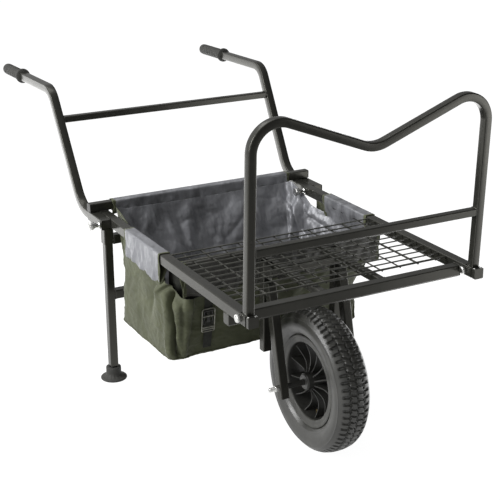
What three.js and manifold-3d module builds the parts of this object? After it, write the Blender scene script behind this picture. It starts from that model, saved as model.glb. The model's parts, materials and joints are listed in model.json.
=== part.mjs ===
// A fishing trolley: one wheel in front, two legs behind, a wire deck between square rails, a hoop
// that stops the load in front, a slung bag behind the deck and a pair of long handles.
// Lengths are in millimetres and angles in degrees. X runs across the trolley, Y from front to back
// and Z up. Until the last lines, y = 0 is over the wheel's axle and z = 0 is the ground.

import * as THREE from "three";
import { ConvexGeometry } from "three/addons/geometries/ConvexGeometry.js";
import { mergeVertices } from "three/addons/utils/BufferGeometryUtils.js";
import Module from "manifold-3d";

const wasm = await Module();
wasm.setup();

// Clearances
const seam = 0.3; // between pieces that touch
const overrun = 2; // how far a cut runs past the piece it cuts
const weldOverlap = 1; // how far joined shapes reach into each other

// Square tubes
const tubeWall = 1.3;
const tubeCorner = 3;
const railSize = 28;
const hoopSize = 22;
const hoopBarSize = 20;
const handleSize = 25;
const legSize = 25;
const forkSize = 25;
const deckTubeSize = 25;
const stringerSize = 20;

// Wheel
const wheelRadius = 200;
const tyreWidth = 100;
const tyreWall = 8;
const rimFlangeRadius = 128;
const rimSeatRadius = 112;
const rimOpeningRadius = 105.5;
const rimWidth = 74;
const rimFlangeThickness = 5;
const hubRadius = 23.5;
const hubLength = 84;
const spokeCount = 12;
const spokeThickness = 5;
const spokeWidth = 50;
const valveRadius = 4;
const valveLength = 24;
const tubeSkin = 3;
const axleRadius = 6;
const axleClearance = 0.3;
const bearingRadius = 17.5;
const bearingLength = 12;
const bearingLipRadius = 20;
const bearingLip = 2;

// Deck frame
const deckHeight = 536; // top of the rails
const railSpacing = 656; // between the rails' middles
const frontOverhang = 228; // rails' front ends ahead of the axle
const rearOverhang = 700; // rails' rear ends behind the axle
const crossbarSetback = 42; // from the rails' front ends
const crossbarDrop = 7; // below the rails' tops
const lowerCrossbarGap = 12; // behind the front crossbar
const midCrossbarPlace = 178; // behind the axle
const midCrossbarDrop = 11;
const crossTubeHalf = 369.5;
const wireSize = 4;
const wirePitchAlong = 36;
const wirePitchAcross = 56.5;
const meshRearReach = 63; // behind the front face of the mid crossbar

// Fork
const forkClearance = 47; // between the tyre and the fork
const forkPostPlace = 80; // behind the axle
const forkPostBottom = 273;
const forkArmTilt = 13.8;
const forkArmTail = 30; // below the axle
const axleTail = 28; // bolt beyond the fork
const nutSize = 19; // across the corners
const nutThickness = 11;
const nutSides = 6;
const spacerRadius = 8.5;

// Hoop
const hoopSetback = 9; // from the rails' front ends, at the rails' tops
const hoopLean = 2.2;
const hoopVertexHeight = 358; // above the rails' tops
const hoopSlope = 21.06;
const hoopShoulderRadius = 68;
const hoopVertexRadius = 80;
const hoopBarHeight = 150.5;
const railGap = 0.4;
const notchGap = 0.4;
const notchLength = 28;
const footPlateGap = 6;
const footPlateThickness = 10;
const footInsertDepth = 118;

// Handles
const socketWall = 1.5;
const socketLength = 110;
const handleGap = 0.7;
const handleInset = 2; // of the tube's end in the socket
const handleTilt = 1.5; // outward
const handleLowReach = 79; // from the rails' ends to the lower bend
const handleRise = 324;
const handleRiseAngle = 58.9;
const handleTopReach = 431;
const handleDroop = 1.25;
const handleLowRadius = 100;
const handleTopRadius = 60;
const handleBarSize = 20;
const handleBarHeight = 240.7;
const gripRadius = 18;
const gripLength = 165;
const gripEnd = 6;
const gripRound = 9;
const collarRadius = 23.5;
const collarLength = 8;

// Legs and feet
const legGap = 0.4;
const legSocketWall = 2.1;
const legSocketLength = 67.4;
const legPlace = 661.8; // behind the axle
const legInset = 3; // of the leg's top in the socket
const legBarSize = 28;
const legBarHeight = 276;
const legSocketBarSize = 28;
const legSocketBarRise = 10.7; // of its middle above the sockets' lower ends
const footRadius = 40;
const footEdge = 5;
const footDome = 12;
const footCollarRadius = 23;
const footCollarTop = 39;
const footBoreRadius = 11;
const footBoreFloor = 10;
const footPinHeight = 22;
const footPinRadius = 4;
const footPinHalf = 20;
const stemRadius = 8;
const stemTail = 6;
const stemPlugLength = 30;
const footClearance = 4;

// Clamps
const screwRadius = 4;
const knobPlace = 28; // hoop clamps, behind the rails' front ends
const knobStandoff = 3;
const knobNeckRadius = 7.5;
const knobRadius = 10.5;
const knobHead = 8;
const handleKnobPlace = 98; // ahead of the rails' rear ends
const handleKnobBodyRadius = 10;
const handleKnobBody = 22;
const handleKnobHeadRadius = 12.5;
const handleKnobHead = 14;
const legScrewDrop = 34; // below the socket's top

// Plugs
const plugPlate = 2.5;
const plugSpigot = 15;

// Bag
const clothThickness = 3.5;
const sleeveCloth = 2;
const sleeveGap = 0.5;
const bagBottom = 245;
const bagFrontSlope = 29; // the front wall runs back by this much on its way down
const bagLeftTaper = -3; // inward on the way down
const bagRightTaper = 57;
const bagFrontInset = 46; // of the front wall's ends from the sides, at the top
const bagFrontLowInset = 23; // and at the bottom
const bagSideRear = 490; // where the rear corners are cut off, at the top
const bagSideRearLow = 515; // and at the bottom
const bagRearHalf = 300;
const bagRearClearance = 5; // to the bar between the leg sockets
const bagRearSlope = 0.439;
const railSleeveStart = 255;
const railSleeveEnd = 490;
const sleeveFlap = 4; // of the rail sleeves beyond the rails
const midSleeveInset = 14;
const strapWidth = 26;
const strapThickness = 2;
const strapLength = 190;
const strapPlace = -236;
const strapDrop = 30;
const buckleWidth = 40;
const buckleLength = 70;
const buckleThickness = 7;
const buckleDrop = 120;

// Facets
const wheelSides = 32;
const roundSides = 12;
const bendSteps = 6; // in a right angle

// Places worked out from the sizes
const rad = THREE.MathUtils.degToRad;
const quarter = 90;
const railX = railSpacing / 2;
const railInner = railX - railSize / 2;
const railOuter = railX + railSize / 2;
const railZ = deckHeight - railSize / 2;
const railBore = railSize - 2 * tubeWall;
const railUnder = deckHeight - railSize;
const frontBarY = -frontOverhang + crossbarSetback + railSize / 2;
const frontBarZ = deckHeight - crossbarDrop - railSize / 2;
const lowerBarY = frontBarY + railSize + lowerCrossbarGap;
const lowerBarTop = railUnder - seam;
const meshUnder = deckHeight - crossbarDrop + seam;
const midBarY = midCrossbarPlace + deckTubeSize / 2;
const midBarZ = deckHeight - midCrossbarDrop - deckTubeSize / 2;
const crossTubeY = rearOverhang - deckTubeSize / 2;
const crossTubeZ = deckHeight + seam + deckTubeSize / 2;
const forkInner = tyreWidth / 2 + forkClearance;
const forkX = forkInner + forkSize / 2;
const stringerX = forkInner - seam - stringerSize / 2;
const stringerZ = lowerBarTop + seam + stringerSize / 2;
const stringerTop = stringerZ + stringerSize / 2;
const crownZ = lowerBarTop - forkSize / 2;
const footInsertSize = railBore - 2 * railGap;
const hoopY = -frontOverhang + hoopSetback;
const socketBore = handleSize + 2 * handleGap;
const socketSize = socketBore + 2 * socketWall;
const socketX = railOuter + seam + socketSize / 2;
const socketZ = deckHeight - socketSize / 2;
const socketFront = rearOverhang - socketLength;
const legSocketBore = legSize + 2 * legGap;
const legSocketSize = legSocketBore + 2 * legSocketWall;
const legSocketTop = railUnder - seam;
const legTop = legSocketTop - legInset;
const legSocketBarZ = legSocketTop - legSocketLength + legSocketBarRise;
const handleKnobY = rearOverhang - handleKnobPlace;
const legScrewZ = legSocketTop - legScrewDrop;

// Materials
const finish = (color, roughness, metalness) => () =>
  new THREE.MeshStandardMaterial({ color, roughness, metalness });
const paint = finish(0x46463f, 0.45, 0.3);
const chrome = finish(0xd8d8d8, 0.15, 1);
const zinc = finish(0xa8a8a4, 0.35, 0.9);
const rubber = finish(0x3c3c39, 0.85, 0);
const plastic = finish(0x1c1c1b, 0.5, 0);
const cloth = finish(0x5a5c44, 0.95, 0);
const webbing = finish(0x2a2b22, 0.9, 0);
const brass = finish(0xb09a55, 0.3, 1);

// Turns a closed geometry into a solid, whichever way its faces look
function solidOf(geometry) {
  const bare = geometry.clone();
  bare.deleteAttribute("normal");
  bare.deleteAttribute("uv");
  const merged = mergeVertices(bare);
  const place = merged.attributes.position;
  const corners = merged.index.array;
  const a = new THREE.Vector3();
  const b = new THREE.Vector3();
  const c = new THREE.Vector3();
  const kept = [];
  let volume = 0;
  for (let i = 0; i < corners.length; i += 3) {
    const [p, q, r] = corners.slice(i, i + 3);
    if (p !== q && q !== r && r !== p) {
      kept.push([p, q, r]);
      a.fromBufferAttribute(place, p);
      b.fromBufferAttribute(place, q);
      c.fromBufferAttribute(place, r);
      volume += a.dot(b.cross(c));
    }
  }
  const faces = volume < 0 ? kept.map(([p, q, r]) => [r, q, p]) : kept;
  return new wasm.Manifold(new wasm.Mesh({
    numProp: 3,
    vertProperties: new Float32Array(place.array),
    triVerts: new Uint32Array(faces.flat()),
  }));
}

function geometryOf(solid) {
  const mesh = solid.getMesh();
  const geometry = new THREE.BufferGeometry();
  geometry.setAttribute("position", new THREE.BufferAttribute(mesh.vertProperties, 3));
  geometry.setIndex(new THREE.BufferAttribute(mesh.triVerts, 1));
  return geometry;
}

// Joins the first list of geometries and cuts the second from them
function shaped(joined, cut = []) {
  let solid = solidOf(joined[0]);
  for (const geometry of joined.slice(1)) {
    solid = solid.add(solidOf(geometry));
  }
  for (const geometry of cut) {
    solid = solid.subtract(solidOf(geometry));
  }
  return geometryOf(solid);
}

const trolley = new THREE.Group();

function addPiece(name, geometry, material, parent = trolley) {
  const mesh = new THREE.Mesh(geometry, material());
  mesh.name = name;
  parent.add(mesh);
  return mesh;
}

function addGroup({ x = 0, y = 0, z = 0, turnX = 0, turnY = 0 }, parent = trolley) {
  const group = new THREE.Group();
  group.position.set(x, y, z);
  group.rotation.set(rad(turnX), rad(turnY), 0);
  parent.add(group);
  return group;
}

// Shapes: a span is a low and a high end
const around = (middle, size) => [middle - size / 2, middle + size / 2];
const middleOf = (span) => (span[0] + span[1]) / 2;
const sideName = (side) => (side < 0 ? "left" : "right");

function block(x, y, z) {
  const geometry = new THREE.BoxGeometry(x[1] - x[0], y[1] - y[0], z[1] - z[0]);
  return geometry.translate(middleOf(x), middleOf(y), middleOf(z));
}

function squareOutline(size, corner = tubeCorner) {
  const outline = new THREE.Shape();
  const half = size / 2;
  const flat = half - corner;
  outline.moveTo(half, -flat);
  outline.lineTo(half, flat);
  outline.absarc(flat, flat, corner, 0, rad(quarter));
  outline.lineTo(-flat, half);
  outline.absarc(-flat, flat, corner, rad(quarter), rad(2 * quarter));
  outline.lineTo(-half, -flat);
  outline.absarc(-flat, -flat, corner, rad(2 * quarter), rad(3 * quarter));
  outline.lineTo(flat, -half);
  outline.absarc(flat, -flat, corner, rad(3 * quarter), rad(4 * quarter));
  return outline;
}

function ringOutline(size, wall = tubeWall) {
  const outline = squareOutline(size);
  const half = size / 2 - wall;
  const bore = [[-half, -half], [-half, half], [half, half], [half, -half]];
  outline.holes.push(new THREE.Path(bore.map(([x, y]) => new THREE.Vector2(x, y))));
  return outline;
}

// Extrudes an outline along X, Y or Z, over a span, about a middle point given as [x, y, z]
function along(axis, outline, span, middle = [0, 0, 0]) {
  const geometry = new THREE.ExtrudeGeometry(outline, {
    depth: span[1] - span[0],
    bevelEnabled: false,
    curveSegments: 2,
  });
  geometry.translate(0, 0, span[0]);
  if (axis === "x") {
    geometry.rotateY(rad(quarter));
  }
  if (axis === "y") {
    geometry.rotateX(rad(-quarter));
  }
  return geometry.translate(...middle);
}

function rod(axis, radius, span, middle = [0, 0, 0], sides = roundSides) {
  const geometry = new THREE.CylinderGeometry(radius, radius, span[1] - span[0], sides);
  geometry.translate(0, middleOf(span), 0);
  if (axis === "x") {
    geometry.rotateZ(rad(-quarter));
  }
  if (axis === "z") {
    geometry.rotateX(rad(quarter));
  }
  return geometry.translate(...middle);
}

// Turns a profile of [radius, place] points about an axis
function turned(axis, profile, sides = roundSides) {
  const points = profile.map(([radius, place]) => new THREE.Vector2(radius, place));
  const geometry = new THREE.LatheGeometry(points, sides);
  if (axis === "x") {
    geometry.rotateZ(rad(-quarter));
  }
  if (axis === "z") {
    geometry.rotateX(rad(quarter));
  }
  return geometry;
}

const closed = (profile) => [...profile, profile[0]];
const mirrored = (profile) => profile.map(([radius, place]) => [radius, -place]).reverse();

// A path of straight runs with an arc at each corner. Its stations lie where it starts, ends
// and bends.
class BentPath extends THREE.Curve {
  constructor(corners, radii) {
    super();
    this.places = [corners[0]];
    this.directions = [corners[1].clone().sub(corners[0]).normalize()];
    for (let i = 1; i < corners.length - 1; i += 1) {
      this.addBend(corners[i - 1], corners[i], corners[i + 1], radii[i - 1]);
    }
    this.places.push(corners.at(-1));
    this.directions.push(corners.at(-1).clone().sub(corners.at(-2)).normalize());
  }

  addBend(before, corner, after, radius) {
    const into = corner.clone().sub(before).normalize();
    const out = after.clone().sub(corner).normalize();
    const angle = into.angleTo(out);
    const reach = radius * Math.tan(angle / 2);
    const axis = into.clone().cross(out).normalize();
    const inward = axis.clone().cross(into);
    const start = corner.clone().addScaledVector(into, -reach);
    const centre = start.clone().addScaledVector(inward, radius);
    const steps = Math.max(2, Math.round((angle / rad(quarter)) * bendSteps));
    for (let step = 0; step <= steps; step += 1) {
      const turn = (angle * step) / steps;
      const spoke = inward.clone().multiplyScalar(-radius).applyAxisAngle(axis, turn);
      this.places.push(centre.clone().add(spoke));
      this.directions.push(into.clone().applyAxisAngle(axis, turn));
    }
  }

  get steps() {
    return this.places.length - 1;
  }

  getUtoTmapping(share) {
    return share;
  }

  getPoint(share) {
    return this.places[Math.round(share * this.steps)].clone();
  }

  getTangent(share) {
    return this.directions[Math.round(share * this.steps)].clone();
  }
}

function bentTube(outline, corners, radii) {
  const extrudePath = new BentPath(corners, radii);
  return new THREE.ExtrudeGeometry(outline, {
    steps: extrudePath.steps,
    curveSegments: 2,
    extrudePath,
  });
}

// Rails, with a notch in front for the hoop and holes for the clamps' screws
function addRails() {
  const length = [-frontOverhang, rearOverhang];
  const notch = block(
    around(0, hoopSize + 2 * notchGap),
    [-frontOverhang - overrun, -frontOverhang + notchLength],
    [railZ, deckHeight + overrun],
  );
  const hole = screwRadius + seam;
  for (const side of [-1, 1]) {
    const x = side * railX;
    const tube = along("y", ringOutline(railSize), length, [x, 0, railZ]);
    const clampWall = [-railSize / 2 - overrun, 0];
    const cuts = [
      notch.clone().translate(x, 0, 0),
      rod("x", hole, clampWall, [x, -frontOverhang + knobPlace, railZ]),
    ];
    if (side > 0) {
      cuts.push(rod("x", hole, around(0, railSize + 2 * overrun), [x, handleKnobY, socketZ]));
    }
    addPiece(`rail_${sideName(side)}`, shaped([tube], cuts), paint);
  }
}

function addCrossbars() {
  const between = [-railInner + seam, railInner - seam];
  const frontBar = along("x", ringOutline(railSize), between, [0, frontBarY, frontBarZ]);
  addPiece("front_crossbar", frontBar, paint);
  const lowerBar = along("x", ringOutline(railSize), [-railOuter, railOuter],
    [0, lowerBarY, lowerBarTop - railSize / 2]);
  addPiece("lower_crossbar", lowerBar, paint);
  const midBar = along("x", ringOutline(deckTubeSize), between, [0, midBarY, midBarZ]);
  addPiece("mid_crossbar", midBar, paint);
  const crossTube = along("x", ringOutline(deckTubeSize), [-crossTubeHalf, crossTubeHalf],
    [0, crossTubeY, crossTubeZ]);
  addPiece("rear_cross_tube", crossTube, paint);
  const front = frontBarY + railSize / 2 + seam;
  for (const side of [-1, 1]) {
    const stringer = along("y", ringOutline(stringerSize), [front, midCrossbarPlace - seam],
      [side * stringerX, 0, stringerZ]);
    addPiece(`stringer_${sideName(side)}`, stringer, paint);
  }
}

// The spans left free between wires, out to the ends of a longer span
function gapsBetween(wires, span) {
  const starts = [span[0], ...wires.map((place) => place + wireSize / 2)];
  const ends = [...wires.map((place) => place - wireSize / 2), span[1]];
  return starts.map((start, i) => [start, ends[i]]);
}

// The wire deck: wires along the trolley over the front crossbar, and wires across between the rails
function addMesh() {
  const z = [meshUnder, meshUnder + wireSize];
  const rear = midCrossbarPlace + meshRearReach;
  const half = railInner - seam;
  const acrossCount = Math.floor((rear - frontBarY - railSize / 2) / wirePitchAlong);
  const alongCount = Math.floor(half / wirePitchAcross);
  const wiresAlong = [];
  for (let i = -alongCount; i <= alongCount; i += 1) {
    wiresAlong.push(i * wirePitchAcross);
  }
  const wiresAcross = [];
  for (let i = acrossCount; i >= 0; i -= 1) {
    wiresAcross.push(rear - i * wirePitchAlong);
  }
  const plate = block([-half, half], [frontBarY, rear + wireSize], z);
  const cutZ = [meshUnder - overrun, meshUnder + wireSize + overrun];
  const cells = [];
  for (const x of gapsBetween(wiresAlong, [-half - overrun, half + overrun])) {
    for (const y of gapsBetween(wiresAcross, [frontBarY - overrun, rear + wireSize + overrun])) {
      cells.push(block(x, y, cutZ));
    }
  }
  addPiece("mesh_platform", shaped([plate], cells), paint);
}

// The fork: slanted arms from the axle up to the posts under the deck
function addFork() {
  const tilt = rad(forkArmTilt);
  const reach = (forkPostPlace - seam - (forkSize / 2) * Math.cos(tilt)) / Math.sin(tilt);
  const axleHole = rod("x", axleRadius + axleClearance, around(0, forkSize + 2 * overrun));
  for (const side of [-1, 1]) {
    const x = side * forkX;
    const post = along("z", ringOutline(forkSize), [forkPostBottom, stringerTop],
      [x, forkPostPlace + forkSize / 2, 0]);
    addPiece(`fork_post_${sideName(side)}`, post, paint);
    const group = addGroup({ x, z: wheelRadius, turnX: -forkArmTilt });
    const arm = along("z", ringOutline(forkSize), [-forkArmTail, reach]);
    addPiece(`fork_arm_${sideName(side)}`, shaped([arm], [axleHole]), paint, group);
  }
  const crown = along("x", ringOutline(forkSize), [-forkInner + seam, forkInner - seam],
    [0, forkPostPlace + forkSize / 2, crownZ]);
  addPiece("fork_crown", crown, paint);
}

// The axle: a bolt through both arms, with a nut on the left and a spacer on each side of the hub
function addAxle() {
  const bolt = addGroup({ z: wheelRadius });
  const armOuter = forkX + forkSize / 2;
  const shank = rod("x", axleRadius, [-armOuter - axleTail, armOuter + 2 * weldOverlap]);
  const headSpan = [armOuter + seam, armOuter + seam + nutThickness];
  const head = rod("x", nutSize / 2, headSpan, [0, 0, 0], nutSides);
  addPiece("axle_bolt", shaped([shank, head]), chrome, bolt);
  const bore = rod("x", axleRadius + axleClearance, [-armOuter - axleTail, 0]);
  const nutSpan = [-armOuter - seam - nutThickness, -armOuter - seam];
  const nut = rod("x", nutSize / 2, nutSpan, [0, 0, 0], nutSides);
  addPiece("axle_nut", shaped([nut], [bore]), chrome, bolt);
  for (const side of [-1, 1]) {
    const inner = hubLength / 2 + bearingLip + 2 * seam;
    const profile = closed([
      [axleRadius + axleClearance, side * inner],
      [spacerRadius, side * inner],
      [spacerRadius, side * (forkInner - seam)],
      [axleRadius + axleClearance, side * (forkInner - seam)],
    ]);
    addPiece(`axle_spacer_${sideName(side)}`, shaped([turned("x", profile)]), plastic, bolt);
  }
}

// Tyre section: shares of the half width, and of the height from the bead's seat to the tread
const tyreOutsideShares = [[0.8, 0.26], [0.96, 0.43], [1, 0.6], [0.96, 0.78], [0.86, 0.89], [0.62, 0.96], [0.3, 1]];
const tyreInsideShares = [[0.5, 0.26], [0.92, 0.52], [0.84, 0.84], [0.3, 1]];

function addWheel() {
  const wheel = addGroup({ z: wheelRadius });
  const seatHalf = rimWidth / 2 - rimFlangeThickness;
  const beadRadius = rimSeatRadius + seam;
  const outside = tyreOutsideShares.map(([x, r]) =>
    [beadRadius + r * (wheelRadius - beadRadius), (x * tyreWidth) / 2]);
  const cavity = (clearance) => tyreInsideShares.map(([x, r]) => [
    beadRadius + clearance + r * (wheelRadius - tyreWall - 2 * clearance - beadRadius),
    x * (tyreWidth / 2 - tyreWall) - clearance,
  ]);
  const beadOut = [[beadRadius, seatHalf - seam], [rimFlangeRadius, seatHalf - seam]];
  const beadIn = [[beadRadius, seatHalf / 2]];
  const half = [...beadOut, ...outside];
  const halfCavity = [...beadIn, ...cavity(0)];
  const section = [...half, ...mirrored(half), ...mirrored(halfCavity).reverse(), ...[...halfCavity].reverse()];
  addPiece("tyre", shaped([turned("x", closed(section), wheelSides)]), rubber, wheel);

  const tubeHalf = [[beadRadius + seam, seatHalf / 2 - seam], ...cavity(seam)];
  const skinHalf = tubeHalf.map(([r, x], i) => {
    const shift = i === 0 ? tubeSkin : -tubeSkin * (r - beadRadius) / (wheelRadius - beadRadius);
    return [r + shift, x - tubeSkin];
  });
  const tubeOutside = turned("x", closed([...tubeHalf, ...mirrored(tubeHalf)]), wheelSides);
  const tubeInside = turned("x", closed([...skinHalf, ...mirrored(skinHalf)]), wheelSides);
  const valveTop = beadRadius + seam + tubeSkin;
  const valveHole = rod("z", valveRadius + seam, [-valveTop - overrun, -rimOpeningRadius]);
  addPiece("inner_tube", shaped([tubeOutside], [tubeInside, valveHole]), rubber, wheel);
  const valveBore = rod("z", valveRadius / 2, [-valveTop - overrun, -valveTop + 2 * tubeSkin]);
  const valve = rod("z", valveRadius, [-valveTop, -valveTop + valveLength]);
  addPiece("valve_stem", shaped([valve], [valveBore]), brass, wheel);

  addRim(wheel, seatHalf);
  addBearings(wheel);
}

function addRim(wheel, seatHalf) {
  const flangeHalf = rimWidth / 2;
  const half = [
    [rimOpeningRadius, flangeHalf],
    [rimFlangeRadius, flangeHalf],
    [rimFlangeRadius, seatHalf],
    [rimSeatRadius, seatHalf],
  ].reverse();
  const band = turned("x", closed([...mirrored(half), ...half]), wheelSides);
  const hub = rod("x", hubRadius, around(0, hubLength), [0, 0, 0], wheelSides);
  const spokes = [];
  for (let i = 0; i < spokeCount; i += 1) {
    const spoke = block(around(0, spokeWidth), around(0, spokeThickness),
      [0, rimOpeningRadius + weldOverlap]);
    spokes.push(spoke.rotateX(((i + 1 / 2) * rad(4 * quarter)) / spokeCount));
  }
  const bore = rod("x", axleRadius + 2 * axleClearance, around(0, hubLength + 2 * overrun));
  const seats = [-1, 1].map((side) => {
    const span = [hubLength / 2 - bearingLength, hubLength / 2 + overrun].map((x) => side * x);
    return rod("x", bearingRadius + seam, side < 0 ? span.reverse() : span);
  });
  const valveHole = rod("z", valveRadius + seam, [-rimSeatRadius - overrun, -hubRadius]);
  const rim = shaped([band, hub, ...spokes], [bore, ...seats, valveHole]);
  addPiece("rim", rim, plastic, wheel);
}

function addBearings(wheel) {
  for (const side of [-1, 1]) {
    const profile = closed([
      [axleRadius + axleClearance, side * (hubLength / 2 - bearingLength + seam)],
      [bearingRadius, side * (hubLength / 2 - bearingLength + seam)],
      [bearingRadius, side * (hubLength / 2 + seam)],
      [bearingLipRadius, side * (hubLength / 2 + seam)],
      [bearingLipRadius, side * (hubLength / 2 + bearingLip)],
      [axleRadius + axleClearance, side * (hubLength / 2 + bearingLip)],
    ]);
    addPiece(`bearing_${sideName(side)}`, shaped([turned("x", profile)]), zinc, wheel);
  }
}

// Hoop: an arch with a shallow V in its top, on two feet that slide in the rails
function addHoop() {
  const hoop = addGroup({ y: hoopY, z: deckHeight, turnX: hoopLean });
  const insertTop = railZ + footInsertSize / 2;
  const edgeDrop = (hoopSize / 2) * Math.sin(rad(hoopLean));
  const bottom = insertTop + seam + edgeDrop - deckHeight;
  const shoulder = hoopVertexHeight + railX * Math.tan(rad(hoopSlope));
  const corners = [
    new THREE.Vector3(-railX, 0, bottom),
    new THREE.Vector3(-railX, 0, shoulder),
    new THREE.Vector3(0, 0, hoopVertexHeight),
    new THREE.Vector3(railX, 0, shoulder),
    new THREE.Vector3(railX, 0, bottom),
  ];
  const radii = [hoopShoulderRadius, hoopVertexRadius, hoopShoulderRadius];
  addPiece("hoop_tube", bentTube(ringOutline(hoopSize), corners, radii), paint, hoop);
  const inner = railX - hoopSize / 2 - seam;
  const bar = along("x", ringOutline(hoopBarSize), [-inner, inner], [0, 0, hoopBarHeight]);
  addPiece("hoop_crossbar", bar, paint, hoop);

  const plateBack = -frontOverhang - footPlateGap;
  const insertSpan = [plateBack - weldOverlap, -frontOverhang + footInsertDepth];
  for (const side of [-1, 1]) {
    const middle = [side * railX, 0, railZ];
    const insert = along("y", ringOutline(footInsertSize), insertSpan, middle);
    const plateSpan = [plateBack - footPlateThickness, plateBack];
    const plate = along("y", squareOutline(railSize), plateSpan, middle);
    addPiece(`hoop_foot_${sideName(side)}`, shaped([insert, plate]), paint);
  }
}

// Handles: bent tubes that stand in sockets outside the rails
function addHandles() {
  const start = socketFront + handleInset;
  const low = rearOverhang + handleLowReach;
  const rise = rad(handleRiseAngle);
  const high = low + handleRise / Math.tan(rise);
  const droop = rad(handleDroop);
  const corners = [
    new THREE.Vector3(0, start, 0),
    new THREE.Vector3(0, low, 0),
    new THREE.Vector3(0, high, handleRise),
    new THREE.Vector3(0, high + handleTopReach * Math.cos(droop),
      handleRise - handleTopReach * Math.sin(droop)),
  ];
  const tubeEnd = corners.at(-1);
  const lean = Math.tan(rad(handleTilt));
  for (const side of [-1, 1]) {
    const socketSpan = [socketFront, rearOverhang];
    const socketAt = [side * socketX, 0, socketZ];
    const socket = along("y", ringOutline(socketSize, socketWall), socketSpan, socketAt);
    const clampWall = rod("x", screwRadius + seam, [-socketSize / 2 - overrun, 0],
      [side * socketX, handleKnobY, socketZ]);
    addPiece(`handle_socket_${sideName(side)}`, shaped([socket], [clampWall]), paint);

    const group = addGroup({ x: side * socketX, z: socketZ, turnY: side * handleTilt });
    const tube = bentTube(ringOutline(handleSize), corners, [handleLowRadius, handleTopRadius]);
    addPiece(`handle_${sideName(side)}`, tube, paint, group);
    const end = addGroup({ y: tubeEnd.y, z: tubeEnd.z, turnX: -handleDroop }, group);
    addPiece(`grip_${sideName(side)}`, gripShape(), rubber, end);
  }
  const barFoot = handleBarHeight - handleBarSize / 2;
  const barHalf = socketX + barFoot * lean - handleSize / 2 / Math.cos(rad(handleTilt)) - seam;
  const barY = low + handleBarHeight / Math.tan(rise);
  const bar = along("x", ringOutline(handleBarSize), [-barHalf, barHalf],
    [0, barY, socketZ + handleBarHeight]);
  addPiece("handle_crossbar", bar, paint);
}

function gripShape() {
  const front = gripEnd + seam - gripLength;
  const back = gripEnd + seam;
  const profile = [
    [0, front],
    [collarRadius, front],
    [collarRadius, front + collarLength],
    [gripRadius, front + collarLength],
    [gripRadius, back - gripRound],
    [gripRadius - gripRound / 2, back],
    [0, back],
  ];
  const bore = along("y", squareOutline(handleSize + 2 * seam), [front - overrun, seam]);
  return shaped([turned("y", profile, wheelSides / 2)], [bore]);
}

// Legs: a frame that stands in two sockets under the rails, on rocking feet
function addLegs() {
  const socketSpan = [legSocketTop - legSocketLength, legSocketTop];
  const legBottom = footCollarTop + footClearance;
  for (const side of [-1, 1]) {
    const middle = [side * railX, legPlace, 0];
    const socket = along("z", ringOutline(legSocketSize, legSocketWall), socketSpan, middle);
    const clampWall = rod("y", screwRadius + seam, [0, legSocketSize / 2 + overrun],
      [side * railX, legPlace, legScrewZ]);
    addPiece(`leg_socket_${sideName(side)}`, shaped([socket], [clampWall]), paint);
    const leg = along("z", ringOutline(legSize), [legBottom, legTop], middle);
    addPiece(`leg_${sideName(side)}`, leg, paint);
    addFoot(side, legBottom);
  }
  const socketInner = railX - legSocketSize / 2 - seam;
  const socketBar = along("x", ringOutline(legSocketBarSize), [-socketInner, socketInner],
    [0, legPlace, legSocketBarZ]);
  addPiece("leg_socket_bar", socketBar, paint);
  const legInner = railX - legSize / 2 - seam;
  const legBar = along("x", ringOutline(legBarSize), [-legInner, legInner],
    [0, legPlace, legBarHeight]);
  addPiece("leg_crossbar", legBar, paint);
}

function addFoot(side, legBottom) {
  const group = addGroup({ x: side * railX, y: legPlace });
  const plugSize = legSize - 2 * tubeWall - 2 * seam;
  const plugSpan = [legBottom - weldOverlap, legBottom + stemPlugLength];
  const plug = along("z", squareOutline(plugSize), plugSpan);
  const stem = rod("z", stemRadius, [footPinHeight - stemTail, legBottom]);
  const pin = rod("x", footPinRadius, around(0, 2 * footPinHalf), [0, 0, footPinHeight]);
  addPiece(`foot_stem_${sideName(side)}`, shaped([stem, plug, pin]), zinc, group);
  const profile = [
    [0, 0],
    [footRadius, 0],
    [footRadius, footEdge],
    [footRadius - footEdge, footEdge + footEdge / 2],
    [footCollarRadius, footDome],
    [footCollarRadius, footCollarTop],
    [footBoreRadius, footCollarTop],
    [footBoreRadius, footBoreFloor],
    [0, footBoreFloor],
  ];
  const pinHole = rod("x", footPinRadius + seam, around(0, 2 * footPinHalf + 2 * seam),
    [0, 0, footPinHeight]);
  const foot = shaped([turned("z", profile, wheelSides / 2)], [pinHole]);
  addPiece(`foot_${sideName(side)}`, foot, rubber, group);
}

// Clamps: each turned about its screw, with the head at the low end and the tip at tipReach
function knobProfile(tipReach) {
  return [
    [0, -knobStandoff - knobHead],
    [knobRadius / 2, -knobStandoff - knobHead],
    [knobRadius, -knobStandoff - knobHead / 2],
    [knobRadius, -knobStandoff],
    [knobNeckRadius, -knobStandoff],
    [knobNeckRadius, -seam],
    [screwRadius, -seam],
    [screwRadius, tipReach],
    [0, tipReach],
  ];
}

function handleKnobProfile(tipReach) {
  const body = -seam - handleKnobBody;
  return [
    [0, body - handleKnobHead],
    [handleKnobHeadRadius / 2, body - handleKnobHead],
    [handleKnobHeadRadius, body - handleKnobHead / 2],
    [handleKnobHeadRadius, body],
    [handleKnobBodyRadius, body],
    [handleKnobBodyRadius, -seam],
    [screwRadius, -seam],
    [screwRadius, tipReach],
    [0, tipReach],
  ];
}

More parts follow.
